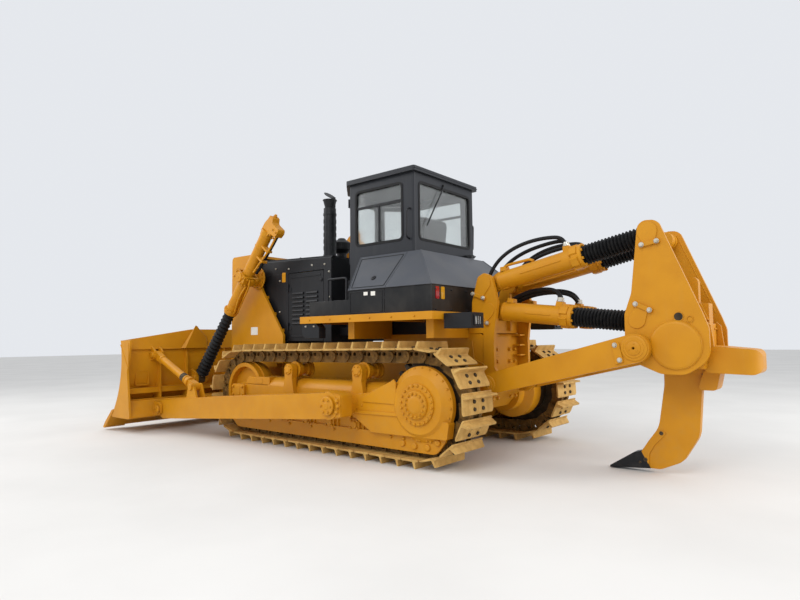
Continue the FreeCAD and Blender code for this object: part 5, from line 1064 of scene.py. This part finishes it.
def arm_details():
    """The push arms' bearing caps, weld seams, wear strips and pin covers."""
    bm, covers = bmesh.new(), bmesh.new()
    for side in (1, -1):
        slab(bm, side, [(822, 500), (1058, 458), (1058, 762), (822, 722)], ARM_OUTER_Y - 20, ARM_OUTER_Y - 8)
        hub(covers, side, [(0, 104), (18, 104), (24, 96), (24, 40), (30, 34), (30, 0)], ARM_PIVOT[0],
            ARM_OUTER_Y + 14, ARM_PIVOT[1], 40)
        for x, z in ((862, 676), (860, 556), (845, 616)):
            side_bolt(side, x, ARM_OUTER_Y - 8, z, 40, YELLOW, body="blade_group")
        bolt_circle(side, ARM_PIVOT[0], ARM_OUTER_Y + 38, ARM_PIVOT[1], 74, 6, 22)
        for edge in (-1, 1):
            for y in (1446, 1634):
                start = Vector((1120, side * y, 598 + edge * 137))
                end = Vector((4500, side * y, 346 + edge * 137))
                tube(bm, [start, end], 8, 6)
    piece("arm_caps", bm, YELLOW, 3, body="blade_group")
    piece("arm_pin_covers", covers, YELLOW, 2)


# Hood, guard and what stands on the engine

GUARD_OUTER_Y = 640
HOOD_Y = 550


def hood_details():
    bm, plates, amber = bmesh.new(), bmesh.new(), bmesh.new()
    for label, side in SIDES:
        for x, z in ((3293, 2412), (2990, 2386), (2480, 2400), (2220, 2390), (3197, 2222), (3194, 1756),
                     (3216, 1560),
                     (2130, 1928), (2130, 1756), (2130, 2280)):
            side_bolt(side, x, HOOD_Y, z, 20, ZINC)
        door = "engine_door_l" if side > 0 else "engine_door_r"
        louvres = bmesh.new()
        for row in range(2):
            for i in range(8):
                z = 1560 + i * 62
                x = 2360 + row * 300
                outline = [(z, 0), (z + 36, 0), (z + 30, 14), (z + 6, 22)]
                corners = [(side * (HOOD_Y + d), h) for h, d in outline]
                prism(louvres, corners, x, x + 240, CROSS)
        for z in (1500, 2180):
            hub(louvres, side, [(0, 26), (8, 26), (12, 20), (12, 0)], 2290, HOOD_Y, z, 20)
        slab(louvres, side, rounded((2300, 2940), (1370, 1400), 12, 3), HOOD_Y, HOOD_Y + 6)
        slab(louvres, side, rounded((2300, 2940), (2240, 2270), 12, 3), HOOD_Y, HOOD_Y + 6)
        piece("engine_door_louvres_" + label, louvres, BLACK, 2, body=door)
        slab(amber, side, rounded((3064, 3146), (2196, 2340), 8, 3), HOOD_Y, HOOD_Y + 3)
        slab(plates, side, rounded((3610, 3778), (1420, 1540), 8, 3), GUARD_OUTER_Y, GUARD_OUTER_Y + 3)
        tube(bm, on(side, (2100, HOOD_Y - 30, 2502), (3680, HOOD_Y - 30, 2562)), 6, 6)
        tube(bm, on(side, (2460, 300, 2516), (3660, 300, 2562)), 10, 10)
        for x in (2200, 2800, 3400):
            bolt(x, side * (HOOD_Y - 60), 2504 + (x - 2090) * 0.0375, (0, 0, 1), 20, BLACK)
    piece("hood_seams", bm, BLACK)
    piece("blank_plates_front", plates, BLANK, 0.8)
    piece("blank_plates_amber", amber, YELLOW, 0.8)


def stack_details():
    """The exhaust's rolled rim, clamps and heat shield slots, and the pre-cleaner's bowl."""
    bm = bmesh.new()
    x, y = 2535, 150
    for z in (2560, 3180):
        lathe(bm, [(0, 93), (0, 99), (34, 99), (34, 93)], (x, y, z), (0, 0, 1), 36)
    lathe(bm, [(0, 92), (16, 100), (30, 100), (46, 92)], (x, y, 2500), (0, 0, 1), 36)
    lathe(bm, [(0, 100), (0, 106), (12, 106), (12, 100)], (x, y, 3408), (0, 0, 1), 36)
    for i in range(14):
        angle = i * math.tau / 14
        for level in range(5):
            z = 2660 + level * 100
            cx, cy = x + 92 * math.cos(angle), y + 92 * math.sin(angle)
            tube(bm, [(cx, cy, z), (cx, cy, z + 64)], 5, 6)
    piece("exhaust_fittings", bm, BLACK, 1.5)
    bowl = bmesh.new()
    x, y = 2640, -200
    lathe(bowl, [(0, 152), (0, 156), (22, 156), (22, 152)], (x, y, 2716), (0, 0, 1), 40)
    lathe(bowl, [(0, 152), (0, 156), (14, 156), (14, 152)], (x, y, 2806), (0, 0, 1), 40)
    for i in range(30):
        angle = i * math.tau / 30
        tube(bowl, [(x + 152 * math.cos(angle), y + 152 * math.sin(angle), 2738),
                    (x + 152 * math.cos(angle), y + 152 * math.sin(angle), 2806)], 5, 6)
    lathe(bowl, [(0, 60), (10, 60), (18, 40), (18, 0)], (x, y, 2880), (0, 0, 1), 24)
    lathe(bowl, [(0, 80), (24, 84), (24, 76)], (x, y, 2560), (0, 0, 1), 30)
    piece("precleaner_fittings", bowl, PLASTIC, 1.5)


def guard_front():
    """Headlamps in the guard's top corners, the guard's bolts and the grille's mesh."""
    bm, lenses, mesh = bmesh.new(), bmesh.new(), bmesh.new()
    for side in (-1, 1):
        ring = rounded(sorted((side * 505, side * 620)), (2540, 2650), 18)
        hole = rounded(sorted((side * 519, side * 606)), (2554, 2636), 14)
        prism(bm, ring, 4288, 4300, CROSS, holes=(hole,))
        prism(lenses, hole, 4286, 4294, CROSS)
        for z in (1080, 1400, 1800, 2200, 2480):
            bolt(4290, side * 570, z, (1, 0, 0), 30)
    for i in range(34):
        y = -445 + i * 27
        rod(mesh, (4262, y, 1172), (4262, y, 2478), 3.5, 6)
    for i in range(49):
        z = 1180 + i * 27
        rod(mesh, (4266, -458, z), (4266, 458, z), 3.5, 6)
    piece("headlamp_bezels", bm, BLACK, 2)
    piece("headlamp_lenses", lenses, CLEAR_LENS)
    piece("grille_mesh", mesh, BLACK)


# Blade: what is bolted and welded to its back, and its edge

BLADE_HALF = 2065
BLADE_CENTRE = (6265.5, 1033.2)
BLADE_RADIUS = 1290
BLADE_PLATE = 26
EDGE_TIP = (5470, 60)
EDGE_LEAN = math.radians(44.5)
END_BIT_WIDTH = 300
STRUT_TOP = (4890, 1130)
STRUT_FOOT = (3800, 690)
STRUT_Y = 1560
ARM_JOINT = (4600, 337)


def blade_back(z):
    """Where the mouldboard's back is at a height."""
    return BLADE_CENTRE[0] - math.sqrt(BLADE_RADIUS ** 2 - (z - BLADE_CENTRE[1]) ** 2) - BLADE_PLATE


def up_edge(distance, out=0):
    """A point up the cutting edge's front face from its tip, and out from it."""
    return (EDGE_TIP[0] - math.sin(EDGE_LEAN) * distance + math.cos(EDGE_LEAN) * out,
            EDGE_TIP[1] + math.cos(EDGE_LEAN) * distance + math.sin(EDGE_LEAN) * out)


def wrapped(points):
    """The outline of a band drawn tight round flat points."""
    points = sorted(points)
    outline = []
    for row in (points, points[::-1]):
        first = len(outline)
        for x, z in row:
            while len(outline) > first + 1:
                (ax, az), (bx, bz) = outline[-2:]
                if (bx - ax) * (z - az) - (bz - az) * (x - ax) > 0:
                    break
                outline.pop()
            outline.append((x, z))
        outline.pop()
    return outline


def pin_head(bm, body, pin, radius, bolts, face, side, size=34):
    """A pin's head with its tongue, held down by a bar on two bolts."""
    start, end = Vector(bolts[0]), Vector(bolts[1])
    way = (end - start).normalized()
    across = Vector((-way.y, way.x)) * 21
    tongue = [tuple(start + way * 18), tuple(end - way * 18)]
    slab(bm, side, wrapped(ring_of(radius, *pin, 28) + tongue), face, face + 10)
    start, end = start - way * 26, end + way * 26
    bar = [tuple(p) for p in (start - across, end - across, end + across, start + across)]
    slab(bm, side, bar, face + 1, face + 24)
    for x, z in bolts:
        side_bolt(side, x, face + 24, z, size, ZINC, body=body)


def blade_edge():
    """The edge's bolted segments with their plough bolts, and the two end bits."""
    bits, seams = bmesh.new(), bmesh.new()
    slope = (math.cos(EDGE_LEAN), 0, math.sin(EDGE_LEAN))
    inner = BLADE_HALF - END_BIT_WIDTH
    for i in range(24):
        y = -inner + 75 + i * (2 * inner - 150) / 23
        for distance in (95, 215):
            x, z = up_edge(distance, -1)
            lathe(bits, [(0, 19), (4, 17), (4, 0)], (x, y, z), slope, 16)
    for y in (-inner / 3, inner / 3):
        prism(seams, [up_edge(2, -2), up_edge(356, -2), up_edge(356, 1.2), up_edge(2, 1.2)], y - 3, y + 3)
    for side in (-1, 1):
        outline = [up_edge(-46, 26), up_edge(60, 34), up_edge(330, 22), up_edge(372, 6), up_edge(372, -26),
                   up_edge(40, -26), up_edge(-30, -10)]
        slab(bits, side, outline, inner, BLADE_HALF + 8)
        for y in (inner + 70, BLADE_HALF - 70):
            for distance in (110, 240):
                x, z = up_edge(distance, 28)
                lathe(bits, [(-4, 21), (5, 19), (5, 0)], (x, side * y, z), slope, 18)
    piece("end_bits_and_edge_bolts", bits, YELLOW, 3, body="blade_group")
    piece("edge_seams", seams, CAST, body="blade_group")


def blade_details():
    """Folded sight guards, weld beads, patch frames and the pins of the braces and lift rods."""
    bm = bmesh.new()
    for side in (-1, 1):
        apex, outer, inner, ridge, bulge = [
            bm.verts.new(spot(*place)) for place in on(side, (4926, 890, 1598), (4926, 1150, 1224),
                                                       (4926, 668, 1224), (4872, 1100, 1226), (4924, 690, 1400))]
        for corners in ((apex, outer, ridge), (apex, ridge, bulge), (bulge, ridge, inner), (outer, inner, ridge),
                        (apex, bulge, inner, outer)):
            bm.faces.new(corners)
        middle = side * 1752
        patch_x = blade_back(790)
        prism(bm, rounded((middle - 108, middle + 108), (672, 905), 34, 4), patch_x - 20, patch_x + 14,
              CROSS, holes=(rounded((middle - 90, middle + 90), (690, 887), 22, 4),))
        for z in (640, 1225):
            tube(bm, on(side, (blade_back(z) - 6, 30, z + 6), (blade_back(z) - 6, 2030, z + 6)), 7, 6)
        for z, x in ((1222, 4934), (474, 4862)):
            tube(bm, on(side, (x, 40, z), (x, 2032, z)), 7, 6)
        for start, end in (((5012, 1292), (4760, 940)), ((4758, 1316), (4758, 960))):
            tube(bm, on(side, (start[0], 2066, start[1]), (end[0], 2066, end[1])), 7, 6)
    piece("blade_folds", bm, YELLOW, 2, body="blade_group")

    pins = bmesh.new()
    for side in (-1, 1):
        for (x, z), y, radius in ((STRUT_TOP, 1632, 46), (STRUT_FOOT, 1632, 46), (LIFT_EYE, 954, 56)):
            hub(pins, side, [(-2, radius), (20, radius), (26, radius - 8), (26, 0)], x, y, z, 32)
        for (x, z), y, radius in ((STRUT_TOP, 1488, 46), (STRUT_FOOT, 1488, 46), (LIFT_EYE, 760, 56)):
            lathe(pins, [(-2, radius), (14, radius), (20, radius - 8), (20, 0)], (x, side * y, z),
                  (0, -side, 0), 32)
        for x, z, turn in ((*STRUT_TOP, 0.5), (*STRUT_FOOT, 2.6)):
            along_x, along_z = math.cos(turn), math.sin(turn)
            keep = [(x + along_x * a - along_z * b, z + along_z * a + along_x * b)
                    for a, b in ((40, -22), (92, -22), (92, 22), (40, 22))]
            slab(pins, side, keep, 1632, 1642)
            side_bolt(side, x + along_x * 72, 1642, z + along_z * 72, 26, body="blade_group")
        hub(pins, side, [(0, 60), (12, 60), (16, 54), (16, 0)], ARM_JOINT[0], 1699, ARM_JOINT[1], 36)
        bolt_circle(side, ARM_JOINT[0], 1715, ARM_JOINT[1], 36, 3, 22, body="blade_group")
    piece("blade_pin_heads", pins, YELLOW, 2, body="blade_group")


def brace_details():
    """Collars, threads and locknuts on the left brace and the right tilt cylinder."""
    bm, thread, rubber = bmesh.new(), bmesh.new(), bmesh.new()
    way = Vector((STRUT_TOP[0] - STRUT_FOOT[0], 0, STRUT_TOP[1] - STRUT_FOOT[1]))
    length = way.length
    for at_share, radius, depth in ((0.13, 70, 60), (0.2, 64, 34), (0.82, 66, 40)):
        start = between(STRUT_FOOT, STRUT_TOP, length * at_share, STRUT_Y)
        collar(bm, start, way, 56, radius, depth, 5, 32)
    start = between(STRUT_FOOT, STRUT_TOP, length * 0.235, STRUT_Y)
    profile = [(0, 56)]
    for i in range(9):
        profile += [(i * 9 + 2, 60), (i * 9 + 7, 60), (i * 9 + 9, 57)]
    lathe(thread, [*profile, (83, 56)], start, way, 28)
    for at_share, radius, depth in ((0.14, 94, 24), (0.62, 98, 46), (0.66, 76, 22)):
        start = between(STRUT_FOOT, STRUT_TOP, length * at_share, -STRUT_Y)
        collar(bm, start, way, 44, radius, depth, 6, 36)
    gland = Vector(between(STRUT_FOOT, STRUT_TOP, length * 0.66, -STRUT_Y))
    outward = way.normalized()
    above = Vector((-outward.z, 0, outward.x))
    for i in range(8):
        angle = i * math.tau / 8
        place = gland + (above * math.cos(angle) + Vector((0, 1, 0)) * math.sin(angle)) * 84
        bolt(*place, tuple(outward), 22, body="blade_group")
    for distance in (0.2, 0.58):
        foot = Vector(between(STRUT_FOOT, STRUT_TOP, length * distance, -STRUT_Y)) + above * 84
        prism(bm, [(foot.x - 34, foot.z - 12), (foot.x + 34, foot.z - 4), (foot.x + 22, foot.z + 38),
                   (foot.x - 42, foot.z + 28)], -STRUT_Y - 30, -STRUT_Y + 30)
        tube(rubber, [tuple(foot + above * 18), tuple(foot + above * 52 - outward * 12),
                      tuple(foot + above * 46 - outward * 130)], 15, 12)
    piece("brace_collars", bm, YELLOW, 2, body="blade_group")
    piece("brace_thread", thread, CAST, body="blade_group")
    piece("tilt_hose_ends", rubber, RUBBER, body="blade_group")


# Lift cylinders

LIFT_WAY = Vector((LIFT_EYE[0] - LIFT_PIVOT[0], 0, LIFT_EYE[1] - LIFT_PIVOT[1])).normalized()
LIFT_BACK = Vector((LIFT_WAY.z, 0, -LIFT_WAY.x))
YOKE_HALF = 134


def by_barrel(distance, back, aside, side):
    """A place by a lift barrel: down from its pivot, behind its axis and outward from it."""
    place = Vector((LIFT_PIVOT[0], 0, LIFT_PIVOT[1])) + LIFT_WAY * distance + LIFT_BACK * back
    return (place.x, side * (LIFT_Y + aside), place.z)


def lift_cylinders():
    """Head, clamps and pipes of each lift barrel, and the yoke's caps."""
    bm, dark, guard = bmesh.new(), bmesh.new(), bmesh.new()
    for side in (-1, 1):
        for distance, radius, depth in ((-800, 95, 44), (-560, 91, 26), (-210, 91, 26), (230, 91, 26),
                                        (470, 91, 26), (596, 114, 28)):
            collar(bm, by_barrel(distance, 0, 0, side), LIFT_WAY, 84, radius, depth, 4, 36, bored=True)
        tube(dark, [by_barrel(-860, 205, -22, side), by_barrel(-700, 196, -22, side),
                    by_barrel(-250, 150, -22, side), by_barrel(-170, 132, -22, side)], 21, 14)
        tube(bm, [by_barrel(-870, 240, 30, side), by_barrel(-640, 232, 34, side),
                  by_barrel(-330, 168, 40, side), by_barrel(-190, 152, 52, side)], 15, 12)
        tube(bm, [by_barrel(60, 150, 70, side), by_barrel(190, 146, 84, side),
                  by_barrel(330, 116, 60, side), by_barrel(560, 112, 22, side),
                  by_barrel(608, 100, 12, side)], 14, 12)
        tube(bm, [by_barrel(-60, 160, 60, side), by_barrel(60, 182, 40, side),
                  by_barrel(250, 164, 20, side), by_barrel(400, 122, -20, side),
                  by_barrel(590, 112, -30, side)], 13, 12)
        for distance in (-600, -420):
            corners = [by_barrel(distance + a, b, 0, side)
                       for a, b in ((-15, 60), (15, 60), (15, 222), (-15, 222))]
            slab(bm, side, [(p[0], p[2]) for p in corners], LIFT_Y - 46, LIFT_Y + 56)
        for out in (-1, 1):
            end = by_barrel(0, out * (YOKE_HALF + 14), 0, side)
            lathe(bm, [(0, 58), (12, 58), (16, 52), (16, 0)], end, LIFT_BACK * out, 32)
            for distance, aside in ((-48, -88), (-48, 88), (48, -88), (48, 88)):
                bolt(*by_barrel(distance, out * YOKE_HALF, aside, side), tuple(LIFT_BACK * out), 30,
                     body="lift_barrel_pair")
        cap = by_barrel(0, 0, YOKE_HALF, side)
        lathe(bm, [(-2, 76), (14, 76), (20, 68), (20, 30), (24, 26), (24, 0)], cap, (0, side, 0), 36)
        for distance, back in ((-46, -98), (-46, 98), (46, -98), (46, 98)):
            bolt(*by_barrel(distance, back, YOKE_HALF, side), (0, side, 0), 30, body="lift_barrel_pair")
        for i in range(10):
            angle = i * math.tau / 10
            bolt(*by_barrel(596, 101 * math.cos(angle), 101 * math.sin(angle), side), tuple(-LIFT_WAY), 16,
                 body="lift_barrel_pair")
        for rise, back in ((-840, 150), (-930, 150), (-840, 235), (-930, 235)):
            bolt(*by_barrel(rise, back, 62, side), (0, side, 0), 24, body="lift_barrel_pair")
        lathe(bm, [(0, 30), (26, 30), (26, 21), (44, 21), (48, 16), (48, 0)], by_barrel(-1058, 4, 0, side),
              tuple(-LIFT_WAY), 6)
        flange = [(0, 112), (0, 168), (6, 172), (16, 172), (22, 166), (22, 128), (58, 118), (58, 108)]
        hub(guard, side, flange, LIFT_PIVOT[0], 640, LIFT_PIVOT[1], 48)
        bolt_circle(side, LIFT_PIVOT[0], 663, LIFT_PIVOT[1], 148, 12, 22)
    piece("guard_boss_flange", guard, YELLOW, 2)
    piece("lift_barrel_fittings", bm, YELLOW, 2, body="lift_barrel_pair")
    piece("lift_hose_sleeves", dark, RUBBER, body="lift_barrel_pair")


# Ripper

BRACKET_FACE_Y = 430
CARRIER_FACE_Y = 410
ARM_FACE_Y = 530
CARRIER_PIN = (-1930, 1225)
CARRIER_CAP = (-2262, 1253)
CARRIER_CAP_RADIUS = 218
ARM_FRONT_PIN = (-353, 829)


def ripper_bracket_pins():
    """Pin heads with their keepers on the bracket, its low bosses and weld beads."""
    bm = bmesh.new()
    rows = (  # pin, head's radius, keeper's two bolts
        (PITCH_PINS[0], 84, ((-137, 1839), (-269, 1786))),
        (RIPPER_LIFT_PINS[0], 82, ((-185, 1586), (-314, 1503))))
    for side in (-1, 1):
        for pin, radius, bolts in rows:
            pin_head(bm, "chassis", pin, radius, bolts, BRACKET_FACE_Y, side)
        x, z = ARM_FRONT_PIN
        hub(bm, side, [(0, 66), (10, 66), (14, 60), (14, 22), (8, 18), (8, 0)], x, 540, z, 36)
        bolt_circle(side, x, 554, z, 42, 3, 24)
        for z in (1120, 1240, 1360):
            slab(bm, side, [(-262, z), (-350, z), (-350, z + 18), (-262, z + 18)], 250, 378)
        tube(bm, on(side, (-256, 433, 700), (-256, 433, 1040), (-124, 433, 1100), (-104, 433, 1300)), 7, 6)
        for y in (-60, 60):
            for z in (640, 780, 920, 1060, 1200):
                bolt(-253, side * 210 + y, z, (-1, 0, 0), 36)
    piece("bracket_pin_heads", bm, YELLOW, 2.5)


def ripper_carrier_pins():
    """Pin heads, the round end caps, ringed holes with a dark disc in the larger one as painted shade of its
    depth, and the box's stiffeners on the carrier.
    """
    bm, dark = bmesh.new(), bmesh.new()
    rows = (  # pin, head's radius, keeper's two bolts
        ((-2050, 2326), 92, ((-2001, 2199), (-2137, 2221))),
        ((-1929, 1490), 80, ((-1926, 1642), (-2051, 1580))))
    for side in (-1, 1):
        for pin, radius, bolts in rows:
            pin_head(bm, "ripper_carrier_group", pin, radius, bolts, CARRIER_FACE_Y, side)
        radius = CARRIER_CAP_RADIUS
        hub(bm, side, [(0, radius + 8), (6, radius + 8), (12, radius + 3), (20, radius - 2),
                       (27, radius - 12), (30, radius - 26), (30, 0)], CARRIER_CAP[0], CARRIER_FACE_Y,
            CARRIER_CAP[1], 64)
        for x, z, radius, ring in ((-2295, 1511, 38, 46), (-2390, 1485, 24, 32)):
            hub(bm, side, [(0, ring), (6, ring), (6, radius), (0.5, radius), (0.5, 0)], x, CARRIER_FACE_Y,
                z, 32)
            # a dark disc in the larger hole: painted shade standing for its depth
            if radius > 30:
                hub(dark, side, [(0, radius - 1), (2, radius - 1), (2, 0)], x, CARRIER_FACE_Y, z, 32)
        tube(bm, on(side, (-2452, 372, 1560), (-2170, 372, 2250), (-2120, 372, 2380)), 8, 6)
        slab(bm, side, [(-2480, 1480), (-2360, 1480), (-2345, 1680), (-2420, 1640)], 82, 110)
        slab(bm, side, [(-2545, 1190), (-2480, 1190), (-2480, 1470), (-2520, 1430)], 210, 236)
        for z in (1080, 1400):
            tube(bm, on(side, (-2484, 110, z), (-2484, 366, z)), 8, 6)
        lathe(bm, [(0, 44), (0, 62), (14, 62), (18, 56), (18, 44)], (-2478, side * 300, 1330), (-1, 0, 0), 28)
    piece("carrier_pin_heads", bm, YELLOW, 3, body="ripper_carrier_group")
    piece("carrier_hole", dark, CAST, body="ripper_carrier_group")


def ripper_arm_ends():
    """The stepped bosses round the arm's rear pins, their keeper plates and the cross tube's welds."""
    bm, caps = bmesh.new(), bmesh.new()
    x, z = CARRIER_PIN
    for side in (-1, 1):
        hub(bm, side, [(0, 70), (0, 120), (8, 120), (12, 114), (12, 94), (20, 88), (20, 70)], x, ARM_FACE_Y,
            z, 56)
        hub(caps, side, [(-6, 66), (24, 66), (28, 60), (28, 16), (20, 12), (20, 0)], x, ARM_FACE_Y, z, 40)
        for angle in (math.radians(100 + 120 * i) for i in range(3)):
            hub(caps, side, [(0, 7), (3, 7), (3, 0)], x + 42 * math.cos(angle), ARM_FACE_Y + 28,
                z + 42 * math.sin(angle), 12)
        slab(bm, side, [(-1723, 1265), (-1794, 1283), (-1834, 1096), (-1759, 1071)], ARM_FACE_Y,
             ARM_FACE_Y + 14)
        for bolt_x, bolt_z in ((-1756, 1255), (-1798, 1114)):
            side_bolt(side, bolt_x, ARM_FACE_Y + 14, bolt_z, 34, ZINC, "ripper_arm_group")
        hub(bm, side, [(0, 60), (0, 96), (8, 96), (12, 90), (12, 60)], ARM_FRONT_PIN[0], ARM_FACE_Y,
            ARM_FRONT_PIN[1], 44)
        share = (-1150 - ARM_FRONT_PIN[0]) / (x - ARM_FRONT_PIN[0])
        tie_z = ARM_FRONT_PIN[1] + (z - ARM_FRONT_PIN[1]) * share
        lathe(bm, [(0, 94), (0, 112), (12, 97), (12, 94)], (-1150, side * 440, tie_z), (0, -side, 0), 36)
    piece("arm_bosses", bm, YELLOW, 2, body="ripper_arm_group")
    piece("arm_pin_caps", caps, YELLOW, 1.5, body="ripper_pivot")


def shank_guard():
    """The pinned guard along the shank's shin, and the tooth's pin."""
    bm, dark = bmesh.new(), bmesh.new()
    shin = [(-2017, 422), (-2048, 396), (-2036, 372), (-1940, 268), (-1890, 180), (-1884, 84), (-1856, 80),
            (-1782, 148), (-1880, 300), (-1962, 412)]
    for side in (-1, 1):
        slab(bm, side, shin, 41, 54)
        for x, z in ((-2008, 392), (-1850, 122)):
            hub(dark, side, [(0, 20), (5, 18), (5, 9), (1, 7), (1, 0)], x, 54, z, 20)
        hub(dark, side, [(0, 13), (4, 11), (4, 0)], -1800, 56, 92, 16)
    piece("shank_guard", bm, YELLOW, 4, body="ripper_carrier_group")
    piece("shank_pins", dark, CAST, 1, body="ripper_carrier_group")


def ripper_cylinder_fittings():
    """Gland blocks, flanges, ports, pipes and front gussets on the four ripper barrels."""
    rows = (  # name, pins, gland's face, body
        ("pitch", PITCH_PINS, 1110, "pitch_barrel_pair"),
        ("ripper_lift", RIPPER_LIFT_PINS, 920, "ripper_lift_barrel_pair"))
    aside = Vector((0, 1, 0))
    for name, (front, rear), gland, body in rows:
        bm, zinc = bmesh.new(), bmesh.new()
        way = Vector((rear[0] - front[0], 0, rear[1] - front[1])).normalized()
        up = Vector((way.z, 0, -way.x))
        for side in (-1, 1):
            axis = Vector((front[0], side * RIPPER_Y, front[1]))
            for start, radius, depth in ((118, 108, 20), (gland - 96, 112, 20), (gland - 20, 126, 40)):
                collar(bm, axis + way * start, way, 98, radius, depth, 5, 44, bored=True)
            for i in range(8):
                angle = i * math.tau / 8 + 0.39
                out = up * math.cos(angle) + aside * math.sin(angle)
                bolt(*(axis + way * (gland + 20) + out * 113), tuple(way), 26, body=body)
            for angle in (k * math.tau / 6 for k in range(6)):
                out = up * math.cos(angle) + aside * math.sin(angle)
                across = way.cross(out)
                middle = axis + way * (gland - 60) + out * 112
                corners = [middle + way * a + across * b
                           for a, b in ((-52, -48), (38, -48), (38, 48), (-52, 48))]
                low = [bm.verts.new(spot(*(c - out * 14))) for c in corners]
                high = [bm.verts.new(spot(*(c + out * 16 - (c - middle) * 0.12))) for c in corners]
                bm.faces.new(low)
                bm.faces.new(high)
                for a in range(4):
                    bm.faces.new((low[a - 1], low[a], high[a], high[a - 1]))
            for start in (190, gland - 150):
                foot = axis + way * start + up * 124
                outline = [foot + way * a + up * b for a, b in ((-40, -34), (46, -34), (40, 22), (-28, 30))]
                slab(bm, side, [(p.x, p.z) for p in outline], RIPPER_Y - 46, RIPPER_Y + 46)
            for w in (-23, 23):
                port = axis + way * (gland - 150) + up * 150 + aside * side * w
                lathe(zinc, [(0, 30), (16, 30), (16, 25), (44, 25), (44, 20)], port, up, 20)
            if name == "pitch":
                high_pipe = ((200, 150), (260, 158), (520, 142), (560, 112))
                tube(bm, [axis + way * a + up * b + aside * 8 for a, b in high_pipe], 16, 12)
            low_pipe = ((gland - 140, -58, -112), (gland - 300, -58, -112), (240, -58, -112), (170, -40, -80))
            tube(bm, [axis + way * a + up * b + aside * side * c for a, b, c in low_pipe], 13, 10)
            for edge in (-1, 1):
                rib = [axis + way * a + up * b * edge for a, b in ((70, 70), (250, 104), (120, 104), (60, 82))]
                for inset in (-46, 34):
                    slab(bm, side, [(p.x, p.z) for p in rib], RIPPER_Y + inset, RIPPER_Y + inset + 12)
            tube(bm, [axis + way * a + aside * side * 104 for a in (420, gland - 210)], 9, 8)
        piece(name + "_barrel_fittings", bm, YELLOW, 3, body)
        piece(name + "_hose_unions", zinc, ZINC, body=body)


def ripper_hoses():
    """Four short hoses a side from the hull's rear to the ripper's barrels."""
    pitch, lift = (PITCH_PINS[0], "pitch_barrel_pair"), (RIPPER_LIFT_PINS[0], "ripper_lift_barrel_pair")
    rows = (  # name, front pin and body, Y at its two ends, path in the XZ plane
        ("pitch_hose_outer", pitch, (300, 268),
         ((-210, 1890), (-280, 2110), (-460, 2300), (-780, 2400), (-1050, 2412), (-1172, 2390), (-1184, 2290))),
        ("pitch_hose_inner", pitch, (190, 222),
         ((-230, 1880), (-340, 2100), (-540, 2262), (-830, 2340), (-1060, 2372), (-1172, 2366), (-1184, 2290))),
        ("lift_hose_outer", lift, (96, 268),
         ((-250, 1640), (-390, 1750), (-580, 1842), (-820, 1874), (-1010, 1858), (-1092, 1795), (-1102, 1705))),
        ("lift_hose_inner", lift, (50, 222),
         ((-250, 1640), (-380, 1735), (-580, 1818), (-820, 1848), (-1000, 1834), (-1090, 1782), (-1102, 1705))))
    for name, (pin, body), (y_start, y_end), path in rows:
        for label, side in SIDES:
            line = bpy.data.curves.new(name, "CURVE")
            line.dimensions = "3D"
            spline = line.splines.new("NURBS")
            spline.points.add(len(path) - 1)
            for i, (x, z) in enumerate(path):
                y = side * (y_start + (y_end - y_start) * max(0, i - 2) / (len(path) - 3))
                spline.points[i].co = (*spot(x, y, z), 1)
            spline.order_u = 4
            spline.use_endpoint_u = True
            spline.resolution_u = 10
            line.bevel_depth = 0.021
            line.bevel_resolution = 5
            line.use_fill_caps = True
            drawn = new_object(name + "_line", line)
            mesh = bpy.data.meshes.new_from_object(drawn.evaluated_get(bpy.context.evaluated_depsgraph_get()))
            bpy.data.objects.remove(drawn)
            finish_mesh(mesh, RUBBER)
            made = new_object(name + "_" + label, mesh)
            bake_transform(made)


def rod_eyes():
    """The painted ends of the plated rods, where their pins pass through."""
    rows = (("lift_rod", LIFT_EYE, LIFT_Y, CAST), ("pitch_rod", PITCH_PINS[1], RIPPER_Y, YELLOW),
            ("ripper_lift_rod", RIPPER_LIFT_PINS[1], RIPPER_Y, YELLOW))
    for name, (x, z), y, finish in rows:
        bm = bmesh.new()
        for side in (1, -1):
            lathe(bm, [(0, 34), (0, 78), (3, 81), (101, 81), (104, 78), (104, 34)], (x, side * y - 52, z),
                  (0, 1, 0), 40)
        piece(name + "_eyes", bm, finish, 2, name + "_pair")


for draw in (grow_tracks, grow_bellows, tank_seams, tank_fittings, reflectors, panel_gaps, steps_and_rails,
             rear_lamps, window_gaskets, cab_fittings, cab_inside, seat_padding, seat_frame, drive_covers,
             roller_caps, idler_ends, arm_details, hood_details, stack_details, guard_front, blade_edge,
             blade_details, brace_details, lift_cylinders, ripper_bracket_pins, ripper_carrier_pins,
             ripper_arm_ends, shank_guard, ripper_cylinder_fittings, ripper_hoses, rod_eyes, grow_bolts,
             set_stage, set_camera):
    draw()
